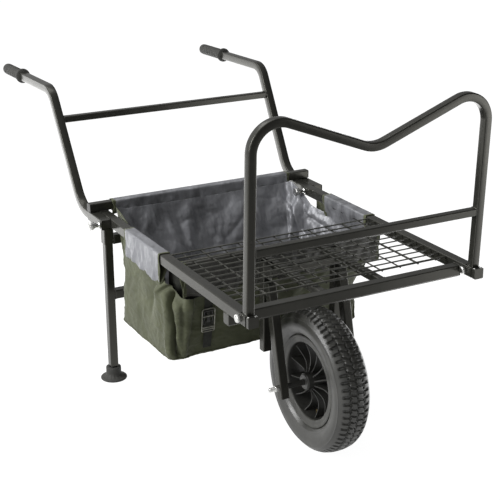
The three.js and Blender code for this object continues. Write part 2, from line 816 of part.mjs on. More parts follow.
function addClamps() {
  const hoopTip = tubeWall + railGap - seam;
  const socketTip = socketWall + handleGap - seam;
  for (const side of [-1, 1]) {
    const name = sideName(side);
    const hoopClamp = addGroup({
      x: side * railX - railSize / 2,
      y: -frontOverhang + knobPlace,
      z: railZ,
    });
    addPiece(`hoop_knob_${name}`, shaped([turned("x", knobProfile(hoopTip))]), chrome, hoopClamp);
    const throughRail = side < 0 ? 0 : railSize + seam;
    const handleClamp = addGroup({
      x: side * socketX - socketSize / 2 - throughRail,
      y: handleKnobY,
      z: socketZ,
    });
    const handleKnob = shaped([turned("x", handleKnobProfile(throughRail + socketTip))]);
    addPiece(`handle_knob_${name}`, handleKnob, chrome, handleClamp);
    const legClamp = addGroup({
      x: side * railX,
      y: legPlace + legSocketSize / 2,
      z: legScrewZ,
      turnX: 2 * quarter,
    });
    const legTip = legSocketWall + legGap - seam;
    addPiece(`leg_screw_${name}`, shaped([turned("y", knobProfile(legTip))]), chrome, legClamp);
  }
}

// Plugs in the open ends of the rails and of the rear cross tube
function plugShape(axis, size, bore) {
  const plate = along(axis, squareOutline(size), [seam, seam + plugPlate]);
  const spigot = along(axis, squareOutline(bore - 2 * seam), [-plugSpigot, seam + plugPlate / 2]);
  return shaped([plate, spigot]);
}

function addPlugs() {
  const tubeBore = deckTubeSize - 2 * tubeWall;
  for (const side of [-1, 1]) {
    const railEnd = addGroup({ x: side * railX, y: rearOverhang, z: railZ });
    addPiece(`rail_plug_${sideName(side)}`, plugShape("y", railSize, railBore), plastic, railEnd);
    const tubeEnd = addGroup({ x: side * crossTubeHalf, y: crossTubeY, z: crossTubeZ });
    const plug = plugShape("x", deckTubeSize, tubeBore);
    const geometry = side < 0 ? plug.rotateZ(rad(2 * quarter)) : plug;
    addPiece(`cross_tube_plug_${sideName(side)}`, geometry, plastic, tubeEnd);
  }
}

// Bag: a sack slung between the rails, the mid crossbar and the rear cross tube, in sleeves
function sackPoints(inset) {
  const top = railUnder - 2 * seam;
  const bottom = bagBottom + inset;
  const drop = top - bagBottom;
  const frontTop = midCrossbarPlace - sleeveCloth + inset;
  const frontBottom = frontTop + bagFrontSlope;
  const rearTop = rearWallAt(top) - inset;
  const rearBottom = rearTop - bagRearSlope * drop;
  const half = railOuter - inset;
  const topZ = inset > 0 ? top + overrun : top;
  const points = [];
  for (const side of [-1, 1]) {
    const taper = side < 0 ? bagLeftTaper : bagRightTaper;
    points.push(
      new THREE.Vector3(side * (half - bagFrontInset), frontTop, topZ),
      new THREE.Vector3(side * half, railSleeveStart, topZ),
      new THREE.Vector3(side * half, bagSideRear, topZ),
      new THREE.Vector3(side * (bagRearHalf - inset), rearTop, topZ),
      new THREE.Vector3(side * (half - taper - bagFrontLowInset), frontBottom, bottom),
      new THREE.Vector3(side * (half - taper), railSleeveStart, bottom),
      new THREE.Vector3(side * (half - taper), bagSideRearLow, bottom),
      new THREE.Vector3(side * (bagRearHalf - taper - inset), rearBottom, bottom),
    );
  }
  return points;
}

// How far back the outside of the rear wall is at a height
function rearWallAt(z) {
  const barTop = legSocketBarZ + legSocketBarSize / 2;
  const barFront = legPlace - legSocketBarSize / 2;
  return barFront - bagRearClearance + bagRearSlope * (z - barTop);
}

function addBag() {
  const skin = sleeveCloth + sleeveGap;
  const top = railUnder - 2 * seam;
  const joined = [new ConvexGeometry(sackPoints(0))];
  const cuts = [new ConvexGeometry(sackPoints(clothThickness))];

  const sleeveX = [-railInner + midSleeveInset, railInner - midSleeveInset];
  const midSleeve = squareOutline(deckTubeSize + 2 * skin);
  joined.push(along("x", midSleeve, sleeveX, [0, midBarY, midBarZ]));
  const midHole = squareOutline(deckTubeSize + 2 * sleeveGap);
  cuts.push(along("x", midHole, [-railInner, railInner], [0, midBarY, midBarZ]));

  const rearSleeve = squareOutline(deckTubeSize + 2 * skin);
  joined.push(along("x", rearSleeve, [-bagRearHalf, bagRearHalf], [0, crossTubeY, crossTubeZ]));
  const rearHole = squareOutline(deckTubeSize + 2 * sleeveGap);
  const rearSpan = [-bagRearHalf - overrun, bagRearHalf + overrun];
  cuts.push(along("x", rearHole, rearSpan, [0, crossTubeY, crossTubeZ]));
  const panel = [];
  for (const x of [-bagRearHalf, bagRearHalf]) {
    for (const shift of [0, -clothThickness]) {
      panel.push(
        new THREE.Vector3(x, rearWallAt(top) + shift, top - clothThickness),
        new THREE.Vector3(x, crossTubeY - deckTubeSize / 2 + shift + clothThickness / 2, crossTubeZ),
      );
    }
  }
  joined.push(new ConvexGeometry(panel));

  for (const side of [-1, 1]) {
    const x = side * railX;
    const sleeve = squareOutline(railSize + 2 * sleeveFlap);
    joined.push(along("y", sleeve, [railSleeveStart, railSleeveEnd], [x, 0, railZ]));
    const railHole = squareOutline(railSize + 2 * sleeveGap);
    cuts.push(along("y", railHole, [midCrossbarPlace - overrun, railSleeveEnd + overrun], [x, 0, railZ]));
    const stringerCut = block(around(side * stringerX, stringerSize + 2 * sleeveGap),
      [midCrossbarPlace - railSize, midCrossbarPlace],
      [stringerZ - stringerSize / 2 - sleeveGap, stringerTop + railSize]);
    cuts.push(stringerCut);
  }
  addPiece("bag", shaped(joined, cuts), cloth);

  const fall = railUnder - 2 * seam - bagBottom;
  const wall = addGroup({
    x: strapPlace,
    y: midCrossbarPlace - sleeveCloth,
    z: top,
    turnX: THREE.MathUtils.radToDeg(Math.atan2(bagFrontSlope, fall)),
  });
  const strap = block(around(0, strapWidth), [-seam - strapThickness, -seam],
    [-strapDrop - strapLength, -strapDrop]);
  addPiece("bag_strap", strap, webbing, wall);
  const buckleBack = -2 * seam - strapThickness;
  const buckle = block(around(0, buckleWidth), [buckleBack - buckleThickness, buckleBack],
    [-buckleDrop - buckleLength, -buckleDrop]);
  addPiece("bag_buckle", buckle, plastic, wall);
}

addRails();
addCrossbars();
addMesh();
addFork();
addAxle();
addWheel();
addHoop();
addHandles();
addLegs();
addClamps();
addPlugs();
addBag();

// The origin moves to the middle of the trolley's box, on the ground
const box = new THREE.Box3().setFromObject(trolley);
const middle = box.getCenter(new THREE.Vector3());
trolley.position.set(-middle.x, -middle.y, -box.min.z);

export default trolley;
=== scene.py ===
"""Dresses the fishing trolley: paint, rubber, wire, cloth and plated fittings on its fixed frame."""

import json
import math

import bmesh
import bpy
import numpy as np
from mathutils import Matrix, Vector


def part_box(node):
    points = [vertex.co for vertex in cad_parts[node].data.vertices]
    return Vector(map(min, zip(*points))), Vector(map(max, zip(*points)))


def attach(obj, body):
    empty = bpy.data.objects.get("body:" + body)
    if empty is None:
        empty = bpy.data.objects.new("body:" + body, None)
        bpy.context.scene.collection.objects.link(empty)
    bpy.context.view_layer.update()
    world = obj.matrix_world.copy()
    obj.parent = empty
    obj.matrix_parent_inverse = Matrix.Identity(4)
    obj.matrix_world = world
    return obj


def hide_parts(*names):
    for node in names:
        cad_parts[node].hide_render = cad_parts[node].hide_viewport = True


bl_info = {
    "name": "Fishing Trolley",
    "version": (1, 0, 0),
    "blender": (4, 5, 0),
    "location": "View3D > Sidebar > Trolley",
    "description": "Builds the visible surfaces of a one-wheeled fishing trolley on its frame",
    "category": "Add Mesh",
}

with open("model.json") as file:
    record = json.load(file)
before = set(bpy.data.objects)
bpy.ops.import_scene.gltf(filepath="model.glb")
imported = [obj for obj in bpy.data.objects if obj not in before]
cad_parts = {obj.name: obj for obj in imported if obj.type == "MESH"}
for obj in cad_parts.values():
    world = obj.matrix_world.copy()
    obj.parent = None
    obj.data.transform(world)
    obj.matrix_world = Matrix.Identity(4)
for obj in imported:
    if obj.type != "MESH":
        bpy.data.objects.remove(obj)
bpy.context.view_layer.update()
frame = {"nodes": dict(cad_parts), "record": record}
MM = 0.001
TURN = 2 * math.pi
SIDES = (("left", -1), ("right", 1))
X, Y, Z = np.eye(3)

# Places read from the frame: boxes are (lowest corner, highest corner)
NODE_BOX = {name: tuple(np.array(corner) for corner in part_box(name)) for name in frame["nodes"]}


def middle(node):
    """The middle of a node's box."""
    low, high = NODE_BOX[node]
    return (low + high) / 2


def extent(node):
    """The lengths of a node's box."""
    low, high = NODE_BOX[node]
    return high - low


WHEEL_CENTRE = middle("tyre")
AXLE_LINE = WHEEL_CENTRE * (0, 1, 1)


# Settings


def colour_setting(name, description, colour):
    return bpy.props.FloatVectorProperty(
        name=name, description=description, subtype="COLOR", default=colour, min=0, max=1)


def length_setting(name, description, length, least, most):
    """A length that is given in millimetres and kept in metres."""
    return bpy.props.FloatProperty(
        name=name, description=description, default=length * MM, min=least * MM, max=most * MM,
        unit="LENGTH")


class TrolleyPaint(bpy.types.PropertyGroup):
    """Colours of the trolley's finishes."""

    paint: colour_setting("Paint", "Powder coat on the tubes", (0.03, 0.03, 0.026))
    canvas: colour_setting("Canvas", "Outside of the bag", (0.094, 0.103, 0.055))
    lining: colour_setting("Lining", "Coated inside of the bag", (0.3, 0.305, 0.325))
    tyre: colour_setting("Tyre", "Rubber of the tyre", (0.045, 0.045, 0.039))
    moulding: colour_setting("Mouldings", "Plastic of the rim, plugs and buckle", (0.028, 0.028, 0.025))
    rubber: colour_setting("Rubber", "Grips and feet", (0.05, 0.05, 0.046))


class TrolleySizes(bpy.types.PropertyGroup):
    """Sizes of the details that the frame leaves open."""

    tube_corner: length_setting("Tube corner", "Radius of a square tube's corners", 3, 0.5, 6)
    wire: length_setting("Wire", "Diameter of the deck's wires", 4, 2, 6)
    tread_depth: length_setting("Tread depth", "Depth of the grooves between the blocks", 6, 1, 8)
    tread_blocks: bpy.props.IntProperty(
        name="Tread blocks", description="Blocks round each shoulder", default=64, min=20, max=100)
    vanes: bpy.props.IntProperty(
        name="Vanes", description="Vanes between the hub and the rim", default=12, min=5, max=24)


def size_settings():
    return bpy.context.scene.trolley_sizes


# Lines and fields


def unit(vector):
    return np.asarray(vector, float) / np.linalg.norm(vector)


def turns(count):
    """Evenly spaced angles once round."""
    return np.linspace(0, TURN, count, endpoint=False)


def smooth_step(low, high, value):
    """0 below low, 1 above high, with a smooth S between."""
    t = np.clip((value - low) / (high - low), 0, 1)
    return t * t * (3 - 2 * t)


def smooth_drop(low, high, value):
    """1 below low, 0 above high, with a smooth S between."""
    return 1 - smooth_step(low, high, value)


def bump_at(value, centre, width):
    """A bell of height 1."""
    return np.exp(-((value - centre) / width) ** 2)


def reach_along(line):
    """The distance along a line to each of its points."""
    return np.concatenate([[0], np.cumsum(np.linalg.norm(np.diff(line, axis=0), axis=1))])


def at_reach(line, reach, wanted):
    """The points of a line at the wanted distances, where reach is its points' own distances."""
    return np.stack([np.interp(wanted, reach, line[:, k]) for k in range(line.shape[1])], axis=-1)


def smoothed(values, times, wrap=True):
    """Averages each row with its neighbours, again and again."""
    for _ in range(times):
        if wrap:
            values = (np.roll(values, 1, 0) + 2 * values + np.roll(values, -1, 0)) / 4
        else:
            values[1:-1] = (values[:-2] + 2 * values[1:-1] + values[2:]) / 4
    return values


def outward(line, centre):
    """Unit normals of a flat line, pointing away from a centre."""
    slope = np.gradient(line, axis=0)
    normal = np.stack([slope[:, 1], -slope[:, 0]], axis=-1)
    normal /= np.linalg.norm(normal, axis=1)[:, None]
    away = np.sum(normal * (line - centre), axis=1)[:, None]
    return normal * np.where(away < 0, -1, 1)


def waves(u, v, seed, most_turns, lengths, count=40):
    """A wrinkled field of about unit size: a sum of plane waves.

    Each wave makes a whole number of turns as u goes from 0 to 1, so that the field closes on itself,
    and one cycle in v takes a length drawn from lengths.
    """
    draw = np.random.default_rng(seed)
    round_u = draw.integers(-most_turns, most_turns + 1, count)
    along_v = draw.choice([-1, 1], count) / draw.uniform(*lengths, count)
    phase = draw.uniform(0, TURN, count)
    total = np.zeros(np.broadcast(u, v).shape)
    for a, b, p in zip(round_u, along_v, phase):
        total += np.cos(TURN * (a * u + b * v) + p)
    return total / math.sqrt(count / 2)


def creased(field):
    """Turns soft waves into flat patches with narrow creases between them."""
    return 1 - 2 * np.abs(np.tanh(1.4 * field))


# Sections and routes


def rounded_square(size, corner, steps=4):
    """Points of a square with quarter-circle corners, counter-clockwise."""
    quarter = np.radians(np.array([0, 90, 180, 270]))[:, None] + np.linspace(0, math.pi / 2, steps + 1)
    signs = np.array([[1, 1], [-1, 1], [-1, -1], [1, -1]])[:, None, :]
    arcs = np.stack([np.cos(quarter), np.sin(quarter)], axis=-1) * corner
    return (signs * (size / 2 - corner) + arcs).reshape(-1, 2)


def circle(radius, count):
    """Points of a circle, counter-clockwise."""
    return np.stack([np.cos(turns(count)), np.sin(turns(count))], axis=-1) * radius


def mirrored(half, shared=0):
    """A profile and its mirror image across the axis' middle, but for the points that both share."""
    half = np.asarray(half, float)
    return np.concatenate([half, (half * (1, -1))[::-1][shared:]])


def in_metres(rows):
    """Profile rows of (radius, distance) in millimetres, as metres. A third value is a share."""
    rows = np.array(rows, float)
    rows[:, :2] *= MM
    return rows


def bent_route(corners, radii, steps_per_turn=64):
    """Points and directions along straight runs joined by arcs that are tangent to both runs."""
    corners = np.asarray(corners, float)
    points = [corners[0]]
    directions = [unit(corners[1] - corners[0])]
    for before, corner, after, radius in zip(corners, corners[1:], corners[2:], radii):
        into, out = unit(corner - before), unit(after - corner)
        angle = math.acos(np.clip(into @ out, -1, 1))
        inward = np.cross(unit(np.cross(into, out)), into)
        start = corner - into * radius * math.tan(angle / 2)
        count = max(3, round(angle / TURN * steps_per_turn))
        for turn in np.linspace(0, angle, count + 1):
            points.append(start + radius * (into * math.sin(turn) + inward * (1 - math.cos(turn))))
            directions.append(into * math.cos(turn) + inward * math.sin(turn))
    points.append(corners[-1])
    directions.append(unit(corners[-1] - corners[-2]))
    return np.array(points), np.array(directions)


def carried(section, points, directions, side):
    """Rings of a flat section carried along a route: its x lies along side, its y square to both."""
    across = np.asarray(side, float) - directions * (directions @ side)[:, None]
    across /= np.linalg.norm(across, axis=1)[:, None]
    up = np.cross(directions, across)
    return points[:, None] + section[None, :, :1] * across[:, None] + section[None, :, 1:] * up[:, None]


def about_axle(along, radius, turn):
    """Points about the axle, where each row has its place along it and each column its turn."""
    along = np.broadcast_to(along[:, None], radius.shape)
    return np.stack([along, radius * np.cos(turn), radius * np.sin(turn)], axis=-1) + AXLE_LINE


def from_axle(points):
    """Places in millimetres, x and y from the axle's middle and z from the floor, in metres."""
    return np.asarray(points, float) * MM + WHEEL_CENTRE * (1, 1, 0)


# Shapes and pieces


class Shape:
    """Vertices and faces gathered from several surfaces, which then become one mesh."""

    def __init__(self):
        self.points = []
        self.faces = []
        self.count = 0

    def add(self, points, faces):
        points = np.asarray(points, float).reshape(-1, 3)
        self.points.append(points)
        self.faces.extend((np.asarray(face) + self.count).tolist() for face in faces)
        self.count += len(points)
        return self

    def grid(self, points, wrap_rows=False, wrap_columns=False):
        """A surface of four-cornered faces whose points are an array of rows by columns by three."""
        rows, columns = points.shape[:2]
        row = np.arange(rows if wrap_rows else rows - 1)
        column = np.arange(columns if wrap_columns else columns - 1)
        r, c = np.meshgrid(row, column, indexing="ij")
        r_next, c_next = (r + 1) % rows, (c + 1) % columns
        corners = ((r, c), (r_next, c), (r_next, c_next), (r, c_next))
        faces = np.stack([a * columns + b for a, b in corners], axis=-1).reshape(-1, 4)
        return self.add(points, faces)

    def tube(self, rings):
        """Closed rings of points, one per row, with both ends capped."""
        rows, columns = rings.shape[:2]
        start = self.count
        self.grid(rings, wrap_columns=True)
        around = np.arange(columns)
        for cap in (around[::-1], (rows - 1) * columns + around):
            self.faces.append((cap + start).tolist())
        return self

    def turned(self, profile, centre, axis, count=48, flutes=0, depth=0.0, ring=False):
        """A surface of revolution: profile rows are (radius, distance along the axis).

        With flutes, a row's third value says how far its radius dips, as a share of depth, along a
        squared raised cosine that repeats once for each flute. A ring's last row joins its first.
        """
        axis = unit(axis)
        first = unit(np.cross(X if abs(axis[2]) > 0.9 else Z, axis))
        second = np.cross(axis, first)
        turn = turns(count)
        spoke = np.cos(turn)[:, None] * first + np.sin(turn)[:, None] * second
        profile = np.asarray(profile, float)
        radius = np.repeat(profile[:, :1], count, axis=1)
        if flutes:
            radius = radius - depth * profile[:, 2:] * (0.5 - 0.5 * np.cos(flutes * turn)) ** 2
        return self.grid(centre + radius[:, :, None] * spoke + profile[:, 1:2, None] * axis, ring, True)

    def cord(self, points, radius, sides=8, closed=False):
        """A round cord along a list of points. Its radius may change along it."""
        points = np.asarray(points, float)
        if closed:
            directions = np.roll(points, -1, 0) - np.roll(points, 1, 0)
        else:
            directions = np.gradient(points, axis=0)
        directions /= np.linalg.norm(directions, axis=1)[:, None]
        oblique = np.array([0.31, 0.52, 0.8])
        ring = carried(circle(1, sides), points, directions, oblique) - points[:, None]
        rings = points[:, None] + ring * radius
        return self.grid(rings, True, True) if closed else self.tube(rings)

    def mesh(self, name, smooth_degrees=35):
        """A mesh object at the origin, outward and smooth except at edges sharper than the angle."""
        mesh = bpy.data.meshes.new(name)
        mesh.from_pydata(np.concatenate(self.points).tolist(), [], self.faces)
        mesh.update()
        work = bmesh.new()
        work.from_mesh(mesh)
        bmesh.ops.remove_doubles(work, verts=work.verts, dist=0.01 * MM)
        bmesh.ops.recalc_face_normals(work, faces=work.faces)
        work.to_mesh(mesh)
        work.free()
        mesh.polygons.foreach_set("use_smooth", np.ones(len(mesh.polygons), bool))
        mesh.set_sharp_from_angle(angle=math.radians(smooth_degrees))
        piece = bpy.data.objects.new(name, mesh)
        bpy.context.scene.collection.objects.link(piece)
        return piece

    def piece(self, name, body, finish, *nodes, slot, smooth_degrees=35):
        """A mesh with its finish, on its body, in place of the nodes that it stands for."""
        piece = self.mesh(name, smooth_degrees)
        piece.data.materials.append(material(finish))
        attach(piece, body)
        if nodes:
            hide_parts(*nodes)
        return piece

    def cloth(self, name, thickness, outer, inner, *nodes):
        """A part of the sewn bag, on the frame: thickened inward, with a finish for each side."""
        piece = self.piece(name, "frame", outer, *nodes, slot="cloth", smooth_degrees=70)
        piece.data.materials.append(material(inner))
        solid = piece.modifiers.new("cloth thickness", "SOLIDIFY")
        solid.thickness = thickness
        solid.offset = -1
        solid.material_offset = 1
        return piece


def face_centres(piece):
    """The middle of each of a piece's faces."""
    centres = np.empty(len(piece.data.polygons) * 3)
    piece.data.polygons.foreach_get("center", centres)
    return centres.reshape(-1, 3)


def use_finish(piece, number, chosen):
    """Gives the chosen faces the piece's finish of that number, and leaves the others its first."""
    piece.data.polygons.foreach_set("material_index", number * chosen.astype(np.int32))


# Materials


def combined(tree, operation, *inputs):
    """A maths node whose inputs are sockets or plain numbers."""
    made = tree.nodes.new("ShaderNodeMath")
    made.operation = operation
    for socket, value in zip(made.inputs, inputs):
        if isinstance(value, float):
            socket.default_value = value
        else:
            tree.links.new(value, socket)
    return made.outputs[0]


class Finish:
    """A material under construction, with short ways to add and join its nodes."""

    def __init__(self, name, roughness, metallic=0.0):
        self.material = bpy.data.materials.new(f"trolley_{name}")
        self.material.use_nodes = True
        self.tree = self.material.node_tree
        self.shader = self.tree.nodes["Principled BSDF"]
        self.uniform("Roughness", roughness)
        self.uniform("Metallic", metallic)
        self.place = self.node("ShaderNodeTexCoord").outputs["Object"]

    def uniform(self, name, value):
        self.shader.inputs[name].default_value = value

    def node(self, kind, **inputs):
        """A new node, with values for those of its inputs that are named here."""
        made = self.tree.nodes.new(kind)
        for name, value in inputs.items():
            made.inputs[name.replace("_", " ")].default_value = value
        return made

    def join(self, output, target):
        self.tree.links.new(output, target)

    def noise(self, scale, detail=3.0, roughness=0.5, place=None):
        made = self.node("ShaderNodeTexNoise", Scale=scale, Detail=detail, Roughness=roughness)
        self.join(place or self.place, made.inputs["Vector"])
        return made.outputs["Fac"]

    def mapped(self, **inputs):
        """The object's coordinates, stretched or turned."""
        made = self.node("ShaderNodeMapping", **inputs)
        self.join(self.place, made.inputs["Vector"])
        return made.outputs["Vector"]

    def mottle(self, factor, positions, colours):
        """Colours the surface along a factor, with a colour at each position."""
        made = self.node("ShaderNodeValToRGB")
        stops = made.color_ramp.elements
        while len(stops) < len(positions):
            stops.new(0.5)
        for stop, position, colour in zip(stops, positions, colours):
            stop.position = position
            stop.color = (*colour, 1.0)
        self.join(factor, made.inputs["Fac"])
        self.join(made.outputs["Color"], self.shader.inputs["Base Color"])

    def span(self, factor, low, high):
        """Carries a factor from 0..1 to low..high."""
        made = self.node("ShaderNodeMapRange", To_Min=low, To_Max=high)
        self.join(factor, made.inputs["Value"])
        return made.outputs["Result"]

    def gloss(self, scale, low, high):
        """Roughness that wanders from low to high."""
        self.join(self.span(self.noise(scale), low, high), self.shader.inputs["Roughness"])

    def bump(self, strength, depth, height):
        """Raises the surface along a height, on top of the bumps before."""
        made = self.node("ShaderNodeBump", Strength=strength, Distance=depth)
        self.join(height, made.inputs["Height"])
        normal = self.shader.inputs["Normal"]
        if normal.is_linked:
            self.join(normal.links[0].from_socket, made.inputs["Normal"])
        self.join(made.outputs["Normal"], normal)

    def grain(self, strength, depth, *noise):
        """Raises the surface along a noise."""
        self.bump(strength, depth, self.noise(*noise))

    def bands(self, strength, depth, scale, direction, place, distortion=0.0):
        """Raises the surface in parallel bands."""
        made = self.node("ShaderNodeTexWave", Scale=scale, Distortion=distortion)
        made.bands_direction = direction
        self.join(place, made.inputs["Vector"])
        self.bump(strength, depth, made.outputs["Fac"])

    def weave(self, depth):
        """Fine woven threads: bands along three turned diagonals."""
        for turn in ((0.0, 0.0, 0.0), (0.0, math.pi / 2, 0.0), (math.pi / 2, 0.0, 0.0)):
            self.bands(0.16, depth, 240.0, "DIAGONAL", self.mapped(Rotation=turn), 0.6)


def tones(setting, *amounts):
    """A colour of the settings at several brightnesses."""
    colour = tuple(getattr(bpy.context.scene.trolley_paint, setting))
    return [tuple(min(1.0, part * amount) for part in colour) for amount in amounts]


def plain_finish(name, roughness, colours, scale, gloss=None, grain=None, metallic=0.0, detail=3.0):
    """A finish between two colours. Colour, gloss and grain each follow a noise of their own.

    The gloss is its noise's scale, then the least and the most roughness. The grain is its strength
    and depth, then its noise's scale and detail.
    """
    finish = Finish(name, roughness, metallic)
    finish.mottle(finish.noise(scale, detail), (0.3, 0.7), colours)
    if gloss:
        finish.gloss(*gloss)
    if grain:
        finish.grain(*grain)
    return finish


def paint_finish():
    """Powder coat: fine orange peel, a little dust and slightly uneven gloss."""
    finish = Finish("paint", 0.24)
    finish.mottle(finish.noise(14.0, 4.0), (0.3, 0.55, 0.75), tones("paint", 0.82, 1, 1.3))
    finish.gloss(55.0, 0.17, 0.31)
    finish.grain(0.08, 0.3 * MM, 900.0, 2.0)
    finish.uniform("Specular Tint", (1.0, 0.98, 0.86, 1.0))
    finish.uniform("Coat Weight", 0.15)
    finish.uniform("Coat Roughness", 0.2)
    return finish


def wire_finish():
    """The deck's coated wires that run across, paler than the tubes: a painted highlight, as the wires along
    keep the paint.
    """
    return plain_finish("wire", 0.32, tones("paint", 2.72, 4.25), 40.0, (120.0, 0.25, 0.42))


def chrome_finish():
    """Bright plating with faint polishing marks."""
    colours = ((0.62, 0.62, 0.6), (0.86, 0.86, 0.84))
    return plain_finish("chrome", 0.1, colours, 60.0, (250.0, 0.06, 0.22), metallic=1.0)


def zinc_finish():
    """Dull grey plating."""
    colours = ((0.09, 0.09, 0.088), (0.17, 0.17, 0.165))
    return plain_finish("zinc", 0.45, colours, 70.0, (160.0, 0.38, 0.56), metallic=0.8)


def clip_finish():
    """The buckle's worn bars, with a satin shine."""
    colours = ((0.2, 0.2, 0.17), (0.36, 0.36, 0.31))
    return plain_finish("clip", 0.3, colours, 80.0, (150.0, 0.24, 0.4), metallic=0.75)


def brass_finish():
    """Dull brass."""
    colours = ((0.16, 0.12, 0.055), (0.3, 0.24, 0.12))
    return plain_finish("brass", 0.3, colours, 90.0, (200.0, 0.2, 0.42), metallic=1.0)


def moulding_finish():
    """Black moulded plastic with a fine grain."""
    grain = (0.15, 0.2 * MM, 1400.0, 2.0)
    return plain_finish("moulding", 0.42, tones("moulding", 0.8, 1.5), 30.0, (120.0, 0.34, 0.52), grain)


def lip_finish():
    """The rim's lip: the same plastic as the rim, in a paler grey."""
    colours = tones("moulding", 1.84, 2.99)
    grain = (0.12, 0.2 * MM, 1100.0, 2.0)
    return plain_finish("lip", 0.4, colours, 35.0, (90.0, 0.32, 0.5), grain, detail=4.0)


def rubber_finish():
    """Matt moulded rubber."""
    grain = (0.2, 0.3 * MM, 900.0, 2.0)
    return plain_finish("rubber", 0.7, tones("rubber", 0.8, 1.25), 45.0, (160.0, 0.55, 0.8), grain)


def tyre_finish():
    """Dusty black rubber, paler where it is rubbed."""
    finish = Finish("tyre", 0.38)
    finish.mottle(finish.noise(22.0, 5.0, 0.6), (0.3, 0.5, 0.72), tones("tyre", 0.75, 1, 1.5))
    finish.gloss(70.0, 0.3, 0.42)
    finish.grain(0.15, 0.3 * MM, 700.0)
    finish.uniform("Specular IOR Level", 1.0)
    return finish


def canvas_finish():
    """Coated green cloth: worn paler in random patches, with a fine weave and tight creases."""
    finish = Finish("canvas", 0.68)
    finish.mottle(finish.noise(9.0, 6.0, 0.6), (0.28, 0.5, 0.72), tones("canvas", 0.72, 1, 1.3))
    finish.gloss(40.0, 0.55, 0.8)
    finish.grain(0.35, 3 * MM, 30.0, 6.0, 0.6)
    finish.weave(0.25 * MM)
    finish.uniform("Sheen Weight", 0.25)
    finish.uniform("Sheen Roughness", 0.4)
    return finish


def lining_finish():
    """Silver-coated inside of the cloth: crumpled into facets and long creases, with a soft metal gloss. Its
    colour is partly random tone and partly painted highlights in long hanging bands, with painted shade
    between them.
    """
    finish = Finish("lining", 0.4, 0.3)
    # Painted highlights and shade: stretched noise makes pale hanging bands, added to a cloud of random tone
    painted_streaks = finish.noise(4.0, 4.0, 0.6, finish.mapped(Scale=(8.0, 8.0, 2.0)))
    both = combined(finish.tree, "ADD", finish.noise(5.0, 5.0, 0.6), painted_streaks)
    finish.mottle(finish.span(both, 0.0, 0.5), (0.38, 0.5, 0.62), tones("lining", 0.6, 1, 1.45))
    finish.gloss(26.0, 0.3, 0.5)
    finish.grain(0.9, 30 * MM, 5.5, 3.0, 0.5)
    finish.grain(0.7, 14 * MM, 3.2, 3.0, 0.5, finish.mapped(Scale=(5.5, 5.5, 1.8)))
    finish.grain(0.35, 3 * MM, 22.0, 4.0, 0.55)
    finish.weave(0.15 * MM)
    return finish


def worn_finish():
    """Painted shade: a dark brown grey that stands for the lining in shade, inside the bag's front and near
    its floor, and on the front sleeve.
    """
    finish = Finish("worn", 0.6)
    # These colours are painted shade of the lining
    colours = ((0.035, 0.034, 0.028), (0.085, 0.084, 0.074))
    finish.mottle(finish.noise(8.0, 5.0, 0.6), (0.3, 0.7), colours)
    finish.gloss(40.0, 0.45, 0.7)
    finish.grain(0.6, 8 * MM, 14.0, 4.0, 0.55)
    return finish


def thread_finish():
    """Pale sewing thread with a twist."""
    colours = ((0.16, 0.16, 0.13), (0.3, 0.3, 0.25))
    return plain_finish("thread", 0.6, colours, 300.0, grain=(0.3, 0.2 * MM, 900.0))


def webbing_finish():
    """Dark woven tape with cross ribs."""
    finish = plain_finish("webbing", 0.75, ((0.012, 0.013, 0.01), (0.03, 0.032, 0.024)), 120.0)
    finish.bands(0.5, 0.4 * MM, 130.0, "Z", finish.place)
    return finish


MAKERS = {maker.__name__.removesuffix("_finish"): maker for maker in (
    paint_finish, wire_finish, chrome_finish, zinc_finish, clip_finish, brass_finish, moulding_finish,
    lip_finish, rubber_finish, tyre_finish, canvas_finish, lining_finish, worn_finish, thread_finish,
    webbing_finish)}


def material(name):
    """The named finish, made the first time that it is asked for."""
    return bpy.data.materials.get(f"trolley_{name}") or MAKERS[name]().material


class Step:
    """What every step shares: it builds its pieces, then says that it has finished."""

    def execute(self, context):
        self.build()
        return {"FINISHED"}


class TROLLEY_OT_finishes(Step, bpy.types.Operator):
    """Gives each part of the frame that stays as it is its own finish"""

    bl_idname = "trolley.finishes"
    bl_label = "Finish the Frame"

    renamed = {"plastic": "moulding", "cloth": "canvas"}

    def build(self):
        for part in frame["record"]["subparts"]:
            node = frame["nodes"][part["node"]]
            slot = part["material_slot"]
            node.data.materials.clear()
            node.data.materials.append(material(self.renamed.get(slot, slot)))


# Hoop and handles: the bent tubes, with round bends in place of the frame's straight steps


def bent_tube(size, corners, radii, side):
    """A square tube along a bent route, one of its faces square to side."""
    section = rounded_square(size, size_settings().tube_corner)
    return Shape().tube(carried(section, *bent_route(corners, radii), side))


class TROLLEY_OT_hoop(Step, bpy.types.Operator):
    """Builds the front hoop's bent tube"""

    bl_idname = "trolley.hoop"
    bl_label = "Hoop"

    lean = math.radians(2.2)
    size = 22 * MM
    vertex_height = 358 * MM
    slope = math.radians(21.06)
    radii = (68 * MM, 80 * MM, 68 * MM)
    setback = 9 * MM
    foot_gap = 1.2 * MM

    def build(self):
        rail_low, rail_high = NODE_BOX["rail_left"]
        left, right = middle("rail_left")[0], middle("rail_right")[0]
        reach = (right - left) / 2
        shoulder = self.vertex_height + reach * math.tan(self.slope)
        corners = [(-reach, -self.foot_gap), (-reach, shoulder), (0, self.vertex_height),
                   (reach, shoulder), (reach, -self.foot_gap)]
        up = np.array([0, -math.sin(self.lean), math.cos(self.lean)])
        origin = np.array([(left + right) / 2, rail_low[1] + self.setback, rail_high[2]])
        route = [origin + x * X + up * z for x, z in corners]
        side = np.array([0, math.cos(self.lean), math.sin(self.lean)])
        bend = bent_tube(self.size, route, self.radii, side)
        bend.piece("hoop_bend", "hoop", "paint", "hoop_tube", slot="paint")


